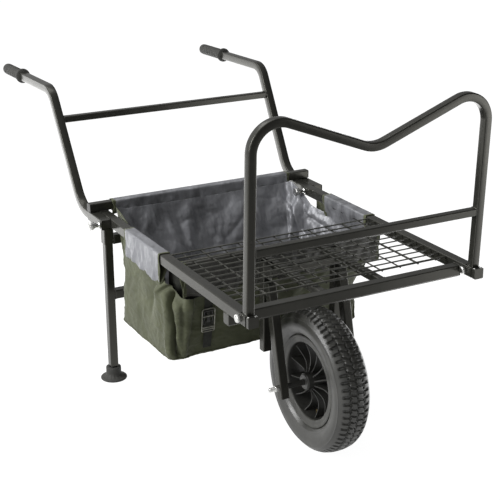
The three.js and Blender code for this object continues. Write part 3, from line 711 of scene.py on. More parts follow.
class TROLLEY_OT_handles(Step, bpy.types.Operator):
    """Builds both bent handle tubes"""

    bl_idname = "trolley.handles"
    bl_label = "Handles"

    size = 25 * MM
    inset = 2 * MM
    tilt = math.radians(1.5)
    low_reach = 79 * MM
    rise = 324 * MM
    rise_angle = math.radians(58.9)
    top_reach = 431 * MM
    droop = math.radians(1.25)
    radii = (100 * MM, 60 * MM)

    @classmethod
    def route(cls, name, side):
        """The tube's corners: along the socket, up at the rise angle and back to the grip."""
        socket_low, socket_high = NODE_BOX[f"handle_socket_{name}"]
        centre = (socket_low + socket_high) / 2
        low = socket_high[1] + cls.low_reach
        high = low + cls.rise / math.tan(cls.rise_angle)
        end = high + cls.top_reach * math.cos(cls.droop)
        flat = [(socket_low[1] + cls.inset, 0), (low, 0), (high, cls.rise),
                (end, cls.rise - cls.top_reach * math.sin(cls.droop))]
        lean = side * math.sin(cls.tilt)
        return [np.array([centre[0] + z * lean, y, centre[2] + z * math.cos(cls.tilt)]) for y, z in flat]

    def build(self):
        for name, side in SIDES:
            across = np.array([math.cos(self.tilt), 0, -side * math.sin(self.tilt)])
            bend = bent_tube(self.size, self.route(name, side), self.radii, across)
            bend.piece(f"handle_bend_{name}", "handle_frame", "paint", f"handle_{name}", slot="paint")


class TROLLEY_OT_grips(Step, bpy.types.Operator):
    """Builds the two ribbed rubber grips"""

    bl_idname = "trolley.grips"
    bl_label = "Grips"

    radius = 18 * MM
    collar_radius = 23.5 * MM
    collar = 8 * MM
    collar_edge = 2 * MM
    length = 165 * MM
    cap = 6.3 * MM
    round_end = 9 * MM
    end_fullness = 0.8
    ribs = 8
    rib_depth = 2.6 * MM
    # Shares of the length over which the ribs fade in and out
    fade_in = 0.06
    fade_out = 0.16

    def profile(self):
        """Radius along the grip: a flange, then ribs as a cubed raised cosine, then a round end."""
        t = np.linspace(0, 1, 140)
        along = self.collar + t * (self.length - self.collar)
        fade = np.clip(np.minimum(t / self.fade_in, (1 - t) / self.fade_out), 0, 1)
        wave = 0.5 - 0.5 * np.cos(TURN * self.ribs * t)
        late = np.clip((along - (self.length - self.round_end)) / self.round_end, 0, 1)
        radius = self.radius - self.rib_depth * fade * wave ** 3
        radius = radius - self.round_end * (1 - np.sqrt(1 - late ** 2)) * self.end_fullness
        neck = self.collar_radius - self.collar_edge
        flange = [(0, 0), (neck, 0), (self.collar_radius, self.collar_edge),
                  (self.collar_radius, self.collar - self.collar_edge), (neck, self.collar),
                  (self.radius + 1 * MM, self.collar)]
        return [*flange, *zip(radius, along), (0, self.length)]

    def build(self):
        for name, side in SIDES:
            route = TROLLEY_OT_handles.route(name, side)
            axis = unit(route[-1] - route[-2])
            grip = Shape().turned(self.profile(), route[-1] + axis * (self.cap - self.length), axis)
            grip.piece(f"grip_rubber_{name}", "handle_frame", "rubber", f"grip_{name}", slot="rubber",
                       smooth_degrees=50)


# Wheel


class TROLLEY_OT_tyre(Step, bpy.types.Operator):
    """Builds the tyre with its block tread"""

    bl_idname = "trolley.tyre"
    bl_label = "Tyre"

    radius = 200 * MM
    half_width = 50 * MM
    bead_radius = 112.3 * MM
    bead_half = 31.7 * MM
    flange_radius = 128 * MM
    flange_lift = (2 * MM, 5 * MM)
    samples = 104
    softening = 3
    steps_per_block = 12
    body_radius = 155 * MM
    tread_edge = (187.5 * MM, 192.5 * MM)
    # The side from the flange to the tread: shares of the tyre's height and of its half width
    bulge = ((0.3, 0.86), (0.45, 0.965), (0.62, 1), (0.77, 0.945), (0.89, 0.77), (0.96, 0.54), (0.99, 0.27))
    # Raised rings on the side: height, radius, half width on top and half width at the foot
    ridges = ((1.3 * MM, 177.5 * MM, 0.8 * MM, 2.6 * MM), (0.8 * MM, 138 * MM, 1 * MM, 2.4 * MM))
    # Half widths of each groove, where it is whole and where it ends: in metres, or as shares of a block
    ring_width = (1.3 * MM, 2.6 * MM)
    centre_width = (1.2 * MM, 2.4 * MM)
    outer_width = (0.15, 0.21)
    inner_width = (0.1, 0.16)
    ring_place = 21 * MM
    zigzag = 2.6 * MM
    centre_zigzag = 1.2
    outer_start = (20 * MM, 23 * MM)
    inner_end = (20 * MM, 22 * MM)
    inner_start = (1 * MM, 3 * MM)
    inner_slant = 14
    inner_depth = 0.8
    shift = 0.25

    def outline(self):
        """The outside from bead to bead as (radius, distance) rows, evenly spaced and softened."""
        height = self.radius - self.bead_radius
        lift, out = self.flange_lift
        half = [(self.bead_radius, self.bead_half), (self.flange_radius, self.bead_half),
                (self.flange_radius + lift, self.bead_half + out),
                *((self.bead_radius + up * height, across * self.half_width) for up, across in self.bulge),
                (self.radius, 0)]
        whole = mirrored(half, shared=1)
        reach = reach_along(whole)
        even = at_reach(whole, reach, np.linspace(0, reach[-1], self.samples))
        return smoothed(even, self.softening, wrap=False)

    def grooves(self, turn, across):
        """Depth share of the grooves at a turn about the axle and a place across the tread.

        Two rings and the centre line swing along a triangle wave, one cycle to each block. Outer
        grooves cross the shoulders, and slanted inner grooves lie half a block from them.
        """
        phase = turn * size_settings().tread_blocks / TURN
        zigzag = self.zigzag * (2 * np.abs((phase % 1) - 0.5) - 0.5)
        width = np.abs(across)
        side = np.sign(across) * self.shift
        ring = smooth_drop(*self.ring_width, np.abs(width - self.ring_place - zigzag))
        centre = smooth_drop(*self.centre_width, np.abs(across - zigzag * self.centre_zigzag))
        outer = smooth_drop(*self.outer_width, np.abs(((phase + side) % 1) - 0.5))
        outer = outer * smooth_step(*self.outer_start, width)
        slanted = phase + 0.5 - side + across * self.inner_slant
        inner = smooth_drop(*self.inner_width, np.abs((slanted % 1) - 0.5))
        inner = inner * smooth_drop(*self.inner_end, width) * smooth_step(*self.inner_start, width)
        return np.maximum.reduce([ring, centre, outer, inner * self.inner_depth])

    def build(self):
        outline = self.outline()
        radius, across = outline[:, :1], outline[:, 1:]
        turn = turns(size_settings().tread_blocks * self.steps_per_block)
        depth = size_settings().tread_depth * smooth_step(*self.tread_edge, radius)
        depth = depth * self.grooves(turn, across)
        lift = sum(height * smooth_drop(top, foot, np.abs(radius - ring))
                   for height, ring, top, foot in self.ridges)
        normal = outward(outline, (self.body_radius, 0))
        inside = np.ones((2, len(turn)))
        r = np.concatenate([radius + normal[:, :1] * (lift - depth), inside * self.bead_radius])
        x = np.concatenate([across + normal[:, 1:] * (lift - depth),
                            inside * [[-self.bead_half / 2], [self.bead_half / 2]]])
        points = np.stack([x, r * np.sin(turn), r * np.cos(turn)], axis=-1) + WHEEL_CENTRE
        tread = Shape().grid(points, wrap_rows=True, wrap_columns=True)
        tread.piece("tyre_tread", "wheel", "tyre", "tyre", slot="tyre", smooth_degrees=45)


class TROLLEY_OT_rim(Step, bpy.types.Operator):
    """Builds the moulded rim with its hub and vanes"""

    bl_idname = "trolley.rim"
    bl_label = "Rim"

    opening = 105.5 * MM
    bowl = 106 * MM
    lip_half = 29 * MM
    hub_radius = 23.5 * MM
    # Half of the ring in millimetres, as (radius, distance): the seat, the broad lip, then the bowl
    band = ((112, 16), (112, 32), (126, 32), (127.8, 33.2), (128, 35.4), (127, 36.7), (125, 37),
            (121.5, 36.5), (120.4, 35.5), (118, 35.1), (111, 34.7), (108.8, 34.1), (107.3, 32.9),
            (106.4, 30), (105, 20), (103, 6))
    # Half of the hub: a stepped barrel with a recess in its end
    hub = ((17.8, 32), (17.8, 42), (21.5, 42), (23.5, 40), (25, 10))
    vane_half = 1.9 * MM
    vane_thinning = 0.3
    vane_sweep = 0.1
    vane_overlap = 1 * MM
    # The vane's half width: at the hub, its loss where it is narrowest and its loss toward the rim
    vane_width = 34 * MM
    vane_dish = 19 * MM
    vane_taper = 8 * MM
    # The part of half a sine that the dish follows: its start and its reach
    dish_start, dish_reach = 0.12, 0.85

    def vane(self, turn):
        """One vane: a thin blade, swept along half a sine and dished between the hub and the rim."""
        reach = np.linspace(0, 1, 14)
        start = self.hub_radius - self.vane_overlap
        radius = start + reach * (self.opening - self.hub_radius - self.vane_overlap)
        dish = np.sin(math.pi * np.clip(reach * self.dish_reach + self.dish_start, 0, 1))
        half = self.vane_width - self.vane_dish * dish - self.vane_taper * reach
        sweep = turn + self.vane_sweep * np.sin(math.pi * reach)
        thick = self.vane_half * (1 - self.vane_thinning * reach)
        rings = []
        for across, side in ((-1, -1), (-1, 1), (1, 1), (1, -1)):
            y = radius * np.sin(sweep) + side * thick * np.cos(sweep)
            z = radius * np.cos(sweep) - side * thick * np.sin(sweep)
            rings.append(np.stack([across * half, y, z], axis=-1))
        return np.stack(rings, axis=1) + WHEEL_CENTRE

    def build(self):
        shape = Shape().turned(mirrored(in_metres(self.band)), WHEEL_CENTRE, X, 128, ring=True)
        shape.turned(mirrored(in_metres(self.hub)), WHEEL_CENTRE, X, 64, ring=True)
        vanes = size_settings().vanes
        for i in range(vanes):
            shape.tube(self.vane((i + 0.5) * TURN / vanes))
        piece = shape.piece("rim_moulding", "wheel", "moulding", "rim", slot="plastic", smooth_degrees=40)
        piece.data.materials.append(material("lip"))
        along, *square = (face_centres(piece) - WHEEL_CENTRE).T
        use_finish(piece, 1, (np.hypot(*square) > self.bowl) & (np.abs(along) > self.lip_half))


# Deck


class TROLLEY_OT_deck(Step, bpy.types.Operator):
    """Builds the welded wire deck"""

    bl_idname = "trolley.deck"
    bl_label = "Wire Deck"

    pitch_across = 56 * MM
    front_wire = -122 * MM
    rows = 12
    # Columns on each side of the middle one, and the column there that is bold like the front row
    columns = 5
    bold_column = 4
    bold = 1.4
    weld_depth = 1.5 * MM
    # A wire's end: places in from its tip, in radii, and shares of the full radius there
    end_steps = (0, 0.3, 1)
    end_shares = (0.55, 0.86, 1)

    def wire(self, shape, start, end, thickness):
        """Adds one straight round wire with softened ends."""
        start, end = np.asarray(start, float), np.asarray(end, float)
        ahead = unit(end - start)
        radius = thickness / 2
        near = np.array(self.end_steps) * radius
        distance = np.concatenate([near, np.linalg.norm(end - start) - near[::-1]])
        share = np.array([*self.end_shares, *self.end_shares[::-1]])
        side = Y if abs(ahead[0]) > 0.5 else X
        ring = circle(radius, 12)
        flat = ring[:, :1] * side + ring[:, 1:] * np.cross(ahead, side)
        shape.tube((start + distance[:, None] * ahead)[:, None] + share[:, None, None] * flat)

    def build(self):
        low, high = NODE_BOX["mesh_platform"]
        size = size_settings().wire
        along_z = low[2] + size / 5
        across_z = along_z + size - self.weld_depth
        front = WHEEL_CENTRE[1] + self.front_wire
        shape = Shape()
        for row, y in enumerate(np.linspace(front, high[1] - size, self.rows)):
            thickness = size * self.bold if row == 0 else size
            self.wire(shape, (low[0], y, across_z), (high[0], y, across_z), thickness)
        painted_highlight_faces = len(shape.faces)
        for column in range(-self.columns, self.columns + 1):
            x = (low[0] + high[0]) / 2 + column * self.pitch_across
            thickness = size * self.bold if abs(column) == self.bold_column else size
            self.wire(shape, (x, front - size, along_z), (x, high[1], along_z), thickness)
        piece = shape.piece("wire_deck", "frame", "paint", "mesh_platform", slot="paint", smooth_degrees=60)
        # The wires across take the paler wire finish, a painted highlight; the wires along keep the paint
        piece.data.materials.append(material("wire"))
        use_finish(piece, 1, np.arange(len(piece.data.polygons)) < painted_highlight_faces)


# Bag: a sewn sack whose walls hang from sleeves round the frame's tubes


def outward_normals(points, centre):
    """Unit normals of a grid whose columns close into a ring, pointing away from a centre."""
    across = (np.roll(points, -1, 1) - np.roll(points, 1, 1)) / 2
    normal = np.cross(np.gradient(points, axis=0), across)
    normal /= np.maximum(np.linalg.norm(normal, axis=2, keepdims=True), 1e-9)
    return normal * np.sign(np.sum(normal * (points - centre), axis=2, keepdims=True))


class BagShell:
    """The sack's wall and floor as one grid: columns go round it, rows from its mouth to its floor.

    Lengths are in millimetres, x and y from the axle's middle and z from the ground. u is the share of
    the way round from the front left corner, and v the share of the way down the wall, which goes on
    past 1 over the floor. A station is a row of the outline, or a place between two rows.
    """

    floor = 246.0
    corner_rise = 15.0
    corner_inset = 6.0
    wall_rows = 78
    floor_rows = 18
    columns = 440
    centre = np.array([-10.0, 375.0, 380.0])
    mouth_softening = 24
    edge_softening = 5
    # Where columns crowd: the station, how many more there are, and over what share of the way round
    crowding = ((1.5, 4.0, 0.022), (14.8, 2.0, 0.02))
    # Round the sack: the mouth's x, y and z, then the floor's x and y
    outline = np.array([
        (-298, 177, 430, -300, 197), (-308, 190, 427, -330, 199), (-314, 204, 436, -343, 209),
        (-321, 224, 450, -346, 232), (-334, 258, 470, -347, 264), (-343, 370, 468, -347, 372),
        (-343, 474, 462, -347, 502), (-336, 497, 494, -345, 518), (-313, 516, 531, -336, 529),
        (-310, 560, 537, -322, 537), (-304, 615, 546, -308, 541), (-299, 664, 553, -298, 544),
        (-286, 673, 534, -280, 546), (0, 673, 532, -10, 546), (286, 673, 534, 236, 546),
        (299, 658, 542, 246, 542), (304, 605, 524, 256, 530), (309, 560, 490, 266, 512),
        (313, 535, 480, 275, 490), (320, 505, 488, 280, 462), (330, 480, 468, 284, 436),
        (330, 390, 468, 284, 350), (323, 310, 468, 276, 290), (309, 258, 466, 262, 250),
        (297, 226, 452, 256, 228), (285, 190, 438, 252, 208), (270, 177, 437, 244, 202),
        (0, 177, 437, -14, 202), (-232, 177, 437, -238, 200), (-262, 177, 422, -266, 199),
    ], float)
    # Stretches of the wall, by station: where each begins, is whole, starts to end and is gone
    left, rear, right = (2.2, 3, 6, 7), (8, 9.5, 14.2, 15), (14.4, 15.2, 21, 23)
    flat_rear, lifted = (10.5, 11.5, 14, 14.6), (0.3, 1.2, 3.6, 4.6)
    # Folds: the height in mm, the station, its drift down the wall and the width as shares of the way
    # round, and the shares of the wall between which the fold fades
    tucks = ((-7, 4.2, 0.03, 0.006, 0.3, 0.7), (-12, 14.5, 0.01, 0.006, 0.5, 0.9),
             (9, 14.95, 0.006, 0.007, 0.5, 0.9), (-11, 15.6, -0.012, 0.005, 0.5, 0.9),
             (7, 16.3, -0.018, 0.008, 0.4, 0.8), (-8, 17.2, -0.01, 0.005, 0.3, 0.7))
    # Creases that fan out from the top of the corner's seam: the same, from the seam on
    rays = ((-8, 0.006, 0.075, 0.0028, 0.1, 0.24), (-6, 0.02, 0.09, 0.004, 0.12, 0.3),
            (5, 0.012, 0.075, 0.004, 0.16, 0.34))
    # That seam's groove: depth, width and sharpness. The ridge beside it: height, place and width
    groove = (22, 0.0024, 1.4)
    ridge = (6.5, 0.0095, 0.007)
    # The swell behind it: its width and its height at the mouth, each with what it loses to the floor
    swell_width = (0.032, 0.026)
    swell_height = (25, 23)
    # A broad dent near the front right corner: depth, station, width and spread down the wall
    dent = (36, 24.9, 0.024, 0.2)
    corner_lift = 23
    # How loose the cloth is everywhere, and what the left, the rear and the right add to that
    loose, loose_left, loose_rear, loose_right = 1.2, -0.5, 1.0, 2.0
    # How far a fold may stand out on the flat part of the rear, and how much more off it
    flat_limit, free_limit = 5, 60

    def __init__(self):
        loft = self.lofted()
        total = self.folds()[:, :, None]
        self.points = loft + outward_normals(loft, self.centre) * total

    def at(self, station):
        """How far round the sack a station lies, as a share."""
        low = int(station)
        return self.stations[low] + (station - low) * (self.stations[low + 1] - self.stations[low])

    def within(self, stretch):
        """1 on a stretch of the wall, 0 off it."""
        a, b, c, d = (self.at(station) for station in stretch)
        return smooth_step(a, b, self.u) * smooth_drop(c, d, self.u)

    def apart(self, share, other):
        """How far one share lies beyond another, the shorter way round the sack."""
        return (share - other + 0.5) % 1 - 0.5

    def edge(self):
        """The outline's rows, spaced round the sack by the crowding and softened at the corners."""
        closed = np.concatenate([self.outline, self.outline[:1]])
        reach = reach_along(closed[:, 3:]) + reach_along(closed[:, :3])
        self.stations = reach / reach[-1]
        share = np.linspace(0, 1, 4000)
        crowd = 1 + sum(gain * bump_at(self.apart(share, self.at(station)), 0, width)
                        for station, gain, width in self.crowding)
        count = np.concatenate([[0], np.cumsum((crowd[1:] + crowd[:-1]) / 2)])
        self.around = np.interp(np.arange(self.columns) / self.columns, count / count[-1], share)
        dense = at_reach(closed, self.stations, self.around)
        dense[:, 2:3] = smoothed(dense[:, 2:3], self.mouth_softening)
        return smoothed(dense, self.edge_softening)

    def lofted(self):
        """Walls run straight from the mouth to the floor's edge and turn in along a quarter ellipse."""
        edge = self.edge()
        mouth, low = edge[:, :3], edge[:, 3:]
        share = np.linspace(0, 1, self.wall_rows)[:, None]
        lean = smooth_step(0, 1, share) * 0.25 + share * 0.75
        rise = mouth[:, 2] - self.floor
        drop = lean * rise
        late = np.clip((drop - (rise - self.corner_rise)) / self.corner_rise, 0, 1)
        across = mouth[None, :, :2] * (1 - lean[:, :, None]) + low[None] * lean[:, :, None]
        inward = self.centre[:2] - across
        inward /= np.linalg.norm(inward, axis=2, keepdims=True)
        across = across + inward * (self.corner_inset * (1 - np.sqrt(1 - late ** 2)))[:, :, None]
        wall = np.concatenate([across, (mouth[:, 2] - drop)[:, :, None]], axis=2)
        reach = np.linspace(0, 1, self.floor_rows + 1)[1:, None, None]
        floor = wall[-1] * (1 - reach) + np.array([*self.centre[:2], self.floor]) * reach
        self.u = self.around[None, :]
        self.v = np.concatenate([share, 1 + reach[:, 0]])
        return np.concatenate([wall, floor])

    def hanging(self, slanted, small):
        """Folds of the loose cloth: hanging and slanted waves, more on the rear and the right."""
        u, v = self.u, self.v
        hung = smooth_step(0.0, 0.16, v)
        hanging = waves(u + 0.006 * slanted, v, 5, 30, (1.4, 5.0), 36)
        large = creased(0.55 * waves(u + 0.01 * slanted, v, 31, 18, (0.3, 0.9), 40))
        size = self.loose + self.loose_left * self.within(self.left)
        size = size + self.loose_rear * self.within(self.rear) + self.loose_right * self.within(self.right)
        move = size * hanging * (0.3 + 0.7 * hung) + size * (0.9 * slanted + 1.5 * large) * hung
        return move + 0.7 * small

    def seam(self):
        """The front left corner: a narrow groove down the seam, creases that fan out from its top and
        a swell behind it, which is wide at the mouth and tapers to nothing at the floor."""
        v = self.v
        top, foot = self.at(2.6), self.at(0.63)
        beyond = self.apart(self.u, top + (foot - top) * v + 0.0009 * np.sin(11 * v))
        depth, width, power = self.groove
        pleat = -depth * np.exp(-(np.abs(beyond) / width) ** power) * smooth_step(0.0, 0.1, v)
        height, place, width = self.ridge
        pleat += height * bump_at(beyond, place, width)
        width, narrowing = self.swell_width
        swell = -beyond / (width - narrowing * np.clip(v, 0, 1))
        height, loss = self.swell_height
        rise = (height - loss * v) * (0.35 + 0.65 * smooth_step(0.0, 0.2, v))
        pleat += rise * smooth_step(0.05, 0.95, swell) * smooth_drop(1.0, 1.25, swell)
        for height, start, drift, width, whole, gone in self.rays:
            pleat += height * bump_at(beyond, start + drift * v, width) * smooth_drop(whole, gone, v)
        return pleat * smooth_drop(0.86, 1.0, v)

    def folds(self):
        """How far the cloth stands off its loft: hanging folds, tucks, the corner's seam, a lift of
        the wall behind that corner and, on the floor, small creases."""
        u, v = self.u, self.v
        wall = smooth_drop(0.9, 1.08, v)
        slanted = waves(u, v, 11, 22, (0.5, 1.4), 30)
        small = creased(waves(u + 0.004 * slanted, v, 23, 70, (0.1, 0.35), 44))
        depth, station, width, spread = self.dent
        tucks = -depth * bump_at(u, self.at(station), width) * bump_at(v, 0.5, spread)
        for height, station, drift, width, whole, gone in self.tucks:
            line = bump_at(u, self.at(station) + drift * v, width)
            tucks = tucks + height * line * smooth_drop(whole, gone, v)
        hung = 0.25 + 0.75 * smooth_step(0.0, 0.16, v)
        total = (self.hanging(slanted, small) + tucks) * wall * hung + self.seam() * wall
        lift = self.corner_lift * self.within(self.lifted)
        total += lift * smooth_step(0.0, 0.22, v) * np.clip(1 - v, 0, 1)
        total = np.minimum(total, self.flat_limit + self.free_limit * (1 - self.within(self.flat_rear)))
        return total + 0.5 * small * (1 - wall)


class TROLLEY_OT_bag(Step, bpy.types.Operator):
    """Builds the sack with its folds, and the piping along its seams"""

    bl_idname = "trolley.bag"
    bl_label = "Bag"

    thickness = 1.6 * MM
    piping = 1.7 * MM
    piping_lift = 0.9 * MM
    piping_stations = (8.0, 14.0, 25.4)
    # Painted shade: the front wall, and the floor up to a height and a distance behind the axle, take a
    # darkened lining colour inside
    shade_reach = 232 * MM
    shade_height = 375 * MM
    floor_reach = 520 * MM

    def build(self):
        shell = BagShell()
        points = from_axle(shell.points)
        sack = Shape().grid(points, wrap_columns=True)
        piece = sack.cloth("bag_sack", self.thickness, "canvas", "lining", "bag")
        self.shaded_front(piece)
        self.pipings(shell, points)

    def shaded_front(self, piece):
        """Painted shade: inside the front wall and the floor the cloth takes a darkened lining colour;
        outside it stays canvas.
        """
        # The second finish is the darkened lining colour of the painted shade, on the inner side
        for name in ("canvas", "worn"):
            piece.data.materials.append(material(name))
        _, back, height = face_centres(piece).T
        behind = back - WHEEL_CENTRE[1]
        low = (height < self.shade_height) & (behind < self.floor_reach)
        use_finish(piece, 2, (behind < self.shade_reach) | low)

    def pipings(self, shell, points):
        """Round cords on the seams: up the corners and round the floor, following the cloth."""
        shape = Shape()
        raised = points + outward_normals(points, from_axle(shell.centre)) * self.piping_lift
        for station in self.piping_stations:
            column = int(np.argmin(np.abs(shell.around - shell.at(station))))
            shape.cord(raised[2:shell.wall_rows - 3, column], self.piping)
        shape.cord(raised[shell.wall_rows - 4], self.piping, closed=True)
        shape.piece("bag_piping", "frame", "canvas", slot="cloth", smooth_degrees=60)


class TROLLEY_OT_sleeves(Step, bpy.types.Operator):
    """Builds the four sleeves that hold the bag to the tubes, a loose tail and a corner web whose dark
    finish is painted shade
    """

    bl_idname = "trolley.sleeves"
    bl_label = "Bag Sleeves"

    # Lengths here are in millimetres, but for those with MM
    thickness = 1.2 * MM
    hem = 9.0
    spacing_round = 3.2
    spacing_along = 3.6
    rail_middle = (328.0, 522.0)
    tube_middle = (687.5, 548.8)
    crossbar_middle = (190.5, 512.5)
    # How far a sleeve stands off its tube, what its creases add, and what its hanging edge's waves add
    stand_off, crease_lift, edge_wave, edge_crease = 0.35, 0.35, 1.5, 0.9
    # How far a sleeve's ends wander, and over what share of it
    end_wander, end_share = 2.2, 0.05
    stitch_height = 9
    stitch_pitch = 5.5
    stitch_length = 3.8
    stitch_lift = 0.4
    stitch_dip = 0.9
    thread = 0.45 * MM
    # The tail's upper front corner, and its length and fall there
    tail_corner, tail_size = (343.5, 484, 505), (92, 52)
    # The web's route round the corner as (x, y), and its top and fall
    web_route = ((-311, 262), (-307, 228), (-290, 210), (-260, 207), (-180, 207))
    web_height = (503, 112)

    def sleeve(self, name, section, span, centre, along, seed, sag, slant=0.0, outer="lining"):
        """A closed section carried along a tube, which runs along x (0) or y (1).

        It stands off by creased waves, most near its lower edge, which hangs in shallow scallops of
        depth sag, and is slant lower at the span's start than at its end.
        """
        section = np.array([*section, section[0]], float)
        reach = reach_along(section)
        even = np.linspace(0, reach[-1], round(reach[-1] / self.spacing_round), endpoint=False)
        section = smoothed(at_reach(section, reach, even), 1)
        start, end = span
        share = np.linspace(0, 1, round((end - start) / self.spacing_along))[:, None]
        around = (np.arange(len(section)) / len(section))[None, :]
        cycle = share * (end - start) / 100
        field = waves(around, cycle, seed, 3, (0.25, 0.9), 30)
        fine = creased(waves(around, cycle, seed + 1, 6, (0.1, 0.3), 36))
        scallop = waves(0 * around, cycle, seed + 2, 0, (0.8, 2.0), 12)
        across, up = section.T
        near_low = (up.max() - up) / (up.max() - up.min())
        loose = np.clip((2 - up) / 30, 0, 1) * (self.edge_wave * field + self.edge_crease * fine)
        stand = self.stand_off + self.crease_lift * np.abs(fine) + loose
        out = outward(section, section.mean(axis=0))
        a = centre[0] + across + out[:, 0] * stand
        b = up + out[:, 1] * stand * (1 - near_low ** 6)
        b = centre[1] + b + (sag * scallop - slant * (1 - share)) * near_low ** 2
        ends = bump_at(share, 0, self.end_share) - bump_at(share, 1, self.end_share)
        t = start + share * (end - start) + self.end_wander * np.sin(7 * around * math.pi) * ends
        points = np.stack([a, t, b] if along else [t, a, b], axis=-1)
        piece = Shape().grid(from_axle(points), wrap_columns=True).cloth(
            f"bag_sleeve_{name}", self.thickness, outer, "canvas")
        place = (face_centres(piece)[:, along] - WHEEL_CENTRE[along]) / MM
        use_finish(piece, 1, (place < start + self.hem) | (place > end - self.hem))
        self.stitches(name, points, section, 1 - along)

    def stitches(self, name, points, section, across):
        """Short raised threads, end to end, above the sleeve's lower edge on its outer side."""
        sign = 1 if name == "right" else -1
        height = section[:, 1] - section[:, 1].min()
        inner = sign * (section[:, 0] - section[:, 0].mean()) <= 0
        line = points[:, np.argmin(np.where(inner, np.inf, np.abs(height - self.stitch_height)))]
        lift = sign * self.stitch_lift * np.eye(3)[across]
        dip = np.array([1, 0, 0, 1])[:, None] * -lift * self.stitch_dip
        reach = reach_along(line)
        shape = Shape()
        for start in np.arange(4, reach[-1] - 6, self.stitch_pitch):
            run = at_reach(line, reach, np.linspace(start, start + self.stitch_length, 4))
            shape.cord(from_axle(run + lift + dip), self.thread, sides=5)
        shape.piece(f"bag_stitches_{name}", "frame", "thread", slot="cloth", smooth_degrees=60)

    def rail_section(self, side, low_out, low_in, low):
        """Round a rail, with a flap that hangs on its outer side."""
        return [(side * 16.2, 15.6), (-side * 15.6, 15.6), (-side * 16.0, -4), (side * low_in, low + 4),
                (side * (low_in + low_out) / 2, low), (side * low_out, low + 4), (side * 17.0, -14)]

    def build(self):
        rail_x, rail_z = self.rail_middle
        self.sleeve("left", self.rail_section(-1, 17.5, 12.0, -63), (249, 489), (-rail_x, rail_z), 1,
                    41, 0.4, slant=13.0)
        self.sleeve("right", self.rail_section(1, 13.0, -1.0, -64), (255, 491), (rail_x, rail_z), 1,
                    53, 1.2)
        rear = [(14.2, 14.0), (-14.2, 14.0), (-14.4, -14), (-13.6, -26), (-11.5, -29), (-9.5, -26),
                (14.2, -13)]
        self.sleeve("rear", rear, (-301, 300), self.tube_middle, 0, 67, 3.0)
        front = [(14.0, 13.6), (-14.0, 13.6), (-14.2, -14), (-13.0, -80), (-9.5, -85), (-6.0, -80),
                 (13.5, -16)]
        # The front sleeve's outside takes the darkened lining colour: painted shade on the side that faces
        # the front
        self.sleeve("front", front, (-308, 308), self.crossbar_middle, 0, 71, 2.0, slant=5.0, outer="worn")
        self.tail()
        self.web()

    def hang(self, name, finish, x, y, z):
        """A single piece of cloth from its coordinates: rows go along it, columns down it."""
        points = np.stack(np.broadcast_arrays(x, y, z), axis=-1)
        Shape().grid(from_axle(points)).cloth(name, self.thickness, finish, finish)

    def tail(self):
        """The loose outer end of the right sleeve: it hangs from the rail behind the clamp."""
        along = np.linspace(0, 1, 34)[:, None]
        down = np.linspace(0, 1, 26)[None, :]
        x, start, top = self.tail_corner
        length, fall = self.tail_size
        y = start + length * along - 10 * along * down
        z = top - (fall - 14 * along) * down - 2 * np.sin(9 * along)
        x = x - 5 * down * along + 1.6 * waves(along, down, 83, 4, (0.7, 2.0), 16) * down
        self.hang("bag_sleeve_tail", "canvas", x, y, z)

    def web(self):
        """A cloth web behind the gap between the left sleeve and the front sleeve, in the strap's dark
        webbing finish: painted shade in that gap.
        """
        corners = np.array(self.web_route, float)
        reach = reach_along(corners)
        along = np.linspace(0, 1, 48)[:, None]
        down = np.linspace(0, 1, 24)[None, :]
        x, y = smoothed(at_reach(corners, reach, along[:, 0] * reach[-1]), 6, wrap=False).T[:, :, None]
        top, fall = self.web_height
        z = top - fall * down + 2 * waves(along, down, 91, 5, (0.6, 1.5), 16) * down
        y = y + 2.5 * waves(along, down, 97, 5, (0.6, 1.5), 16) * down + 2.5
        self.hang("bag_corner_web", "webbing", x, y, z)


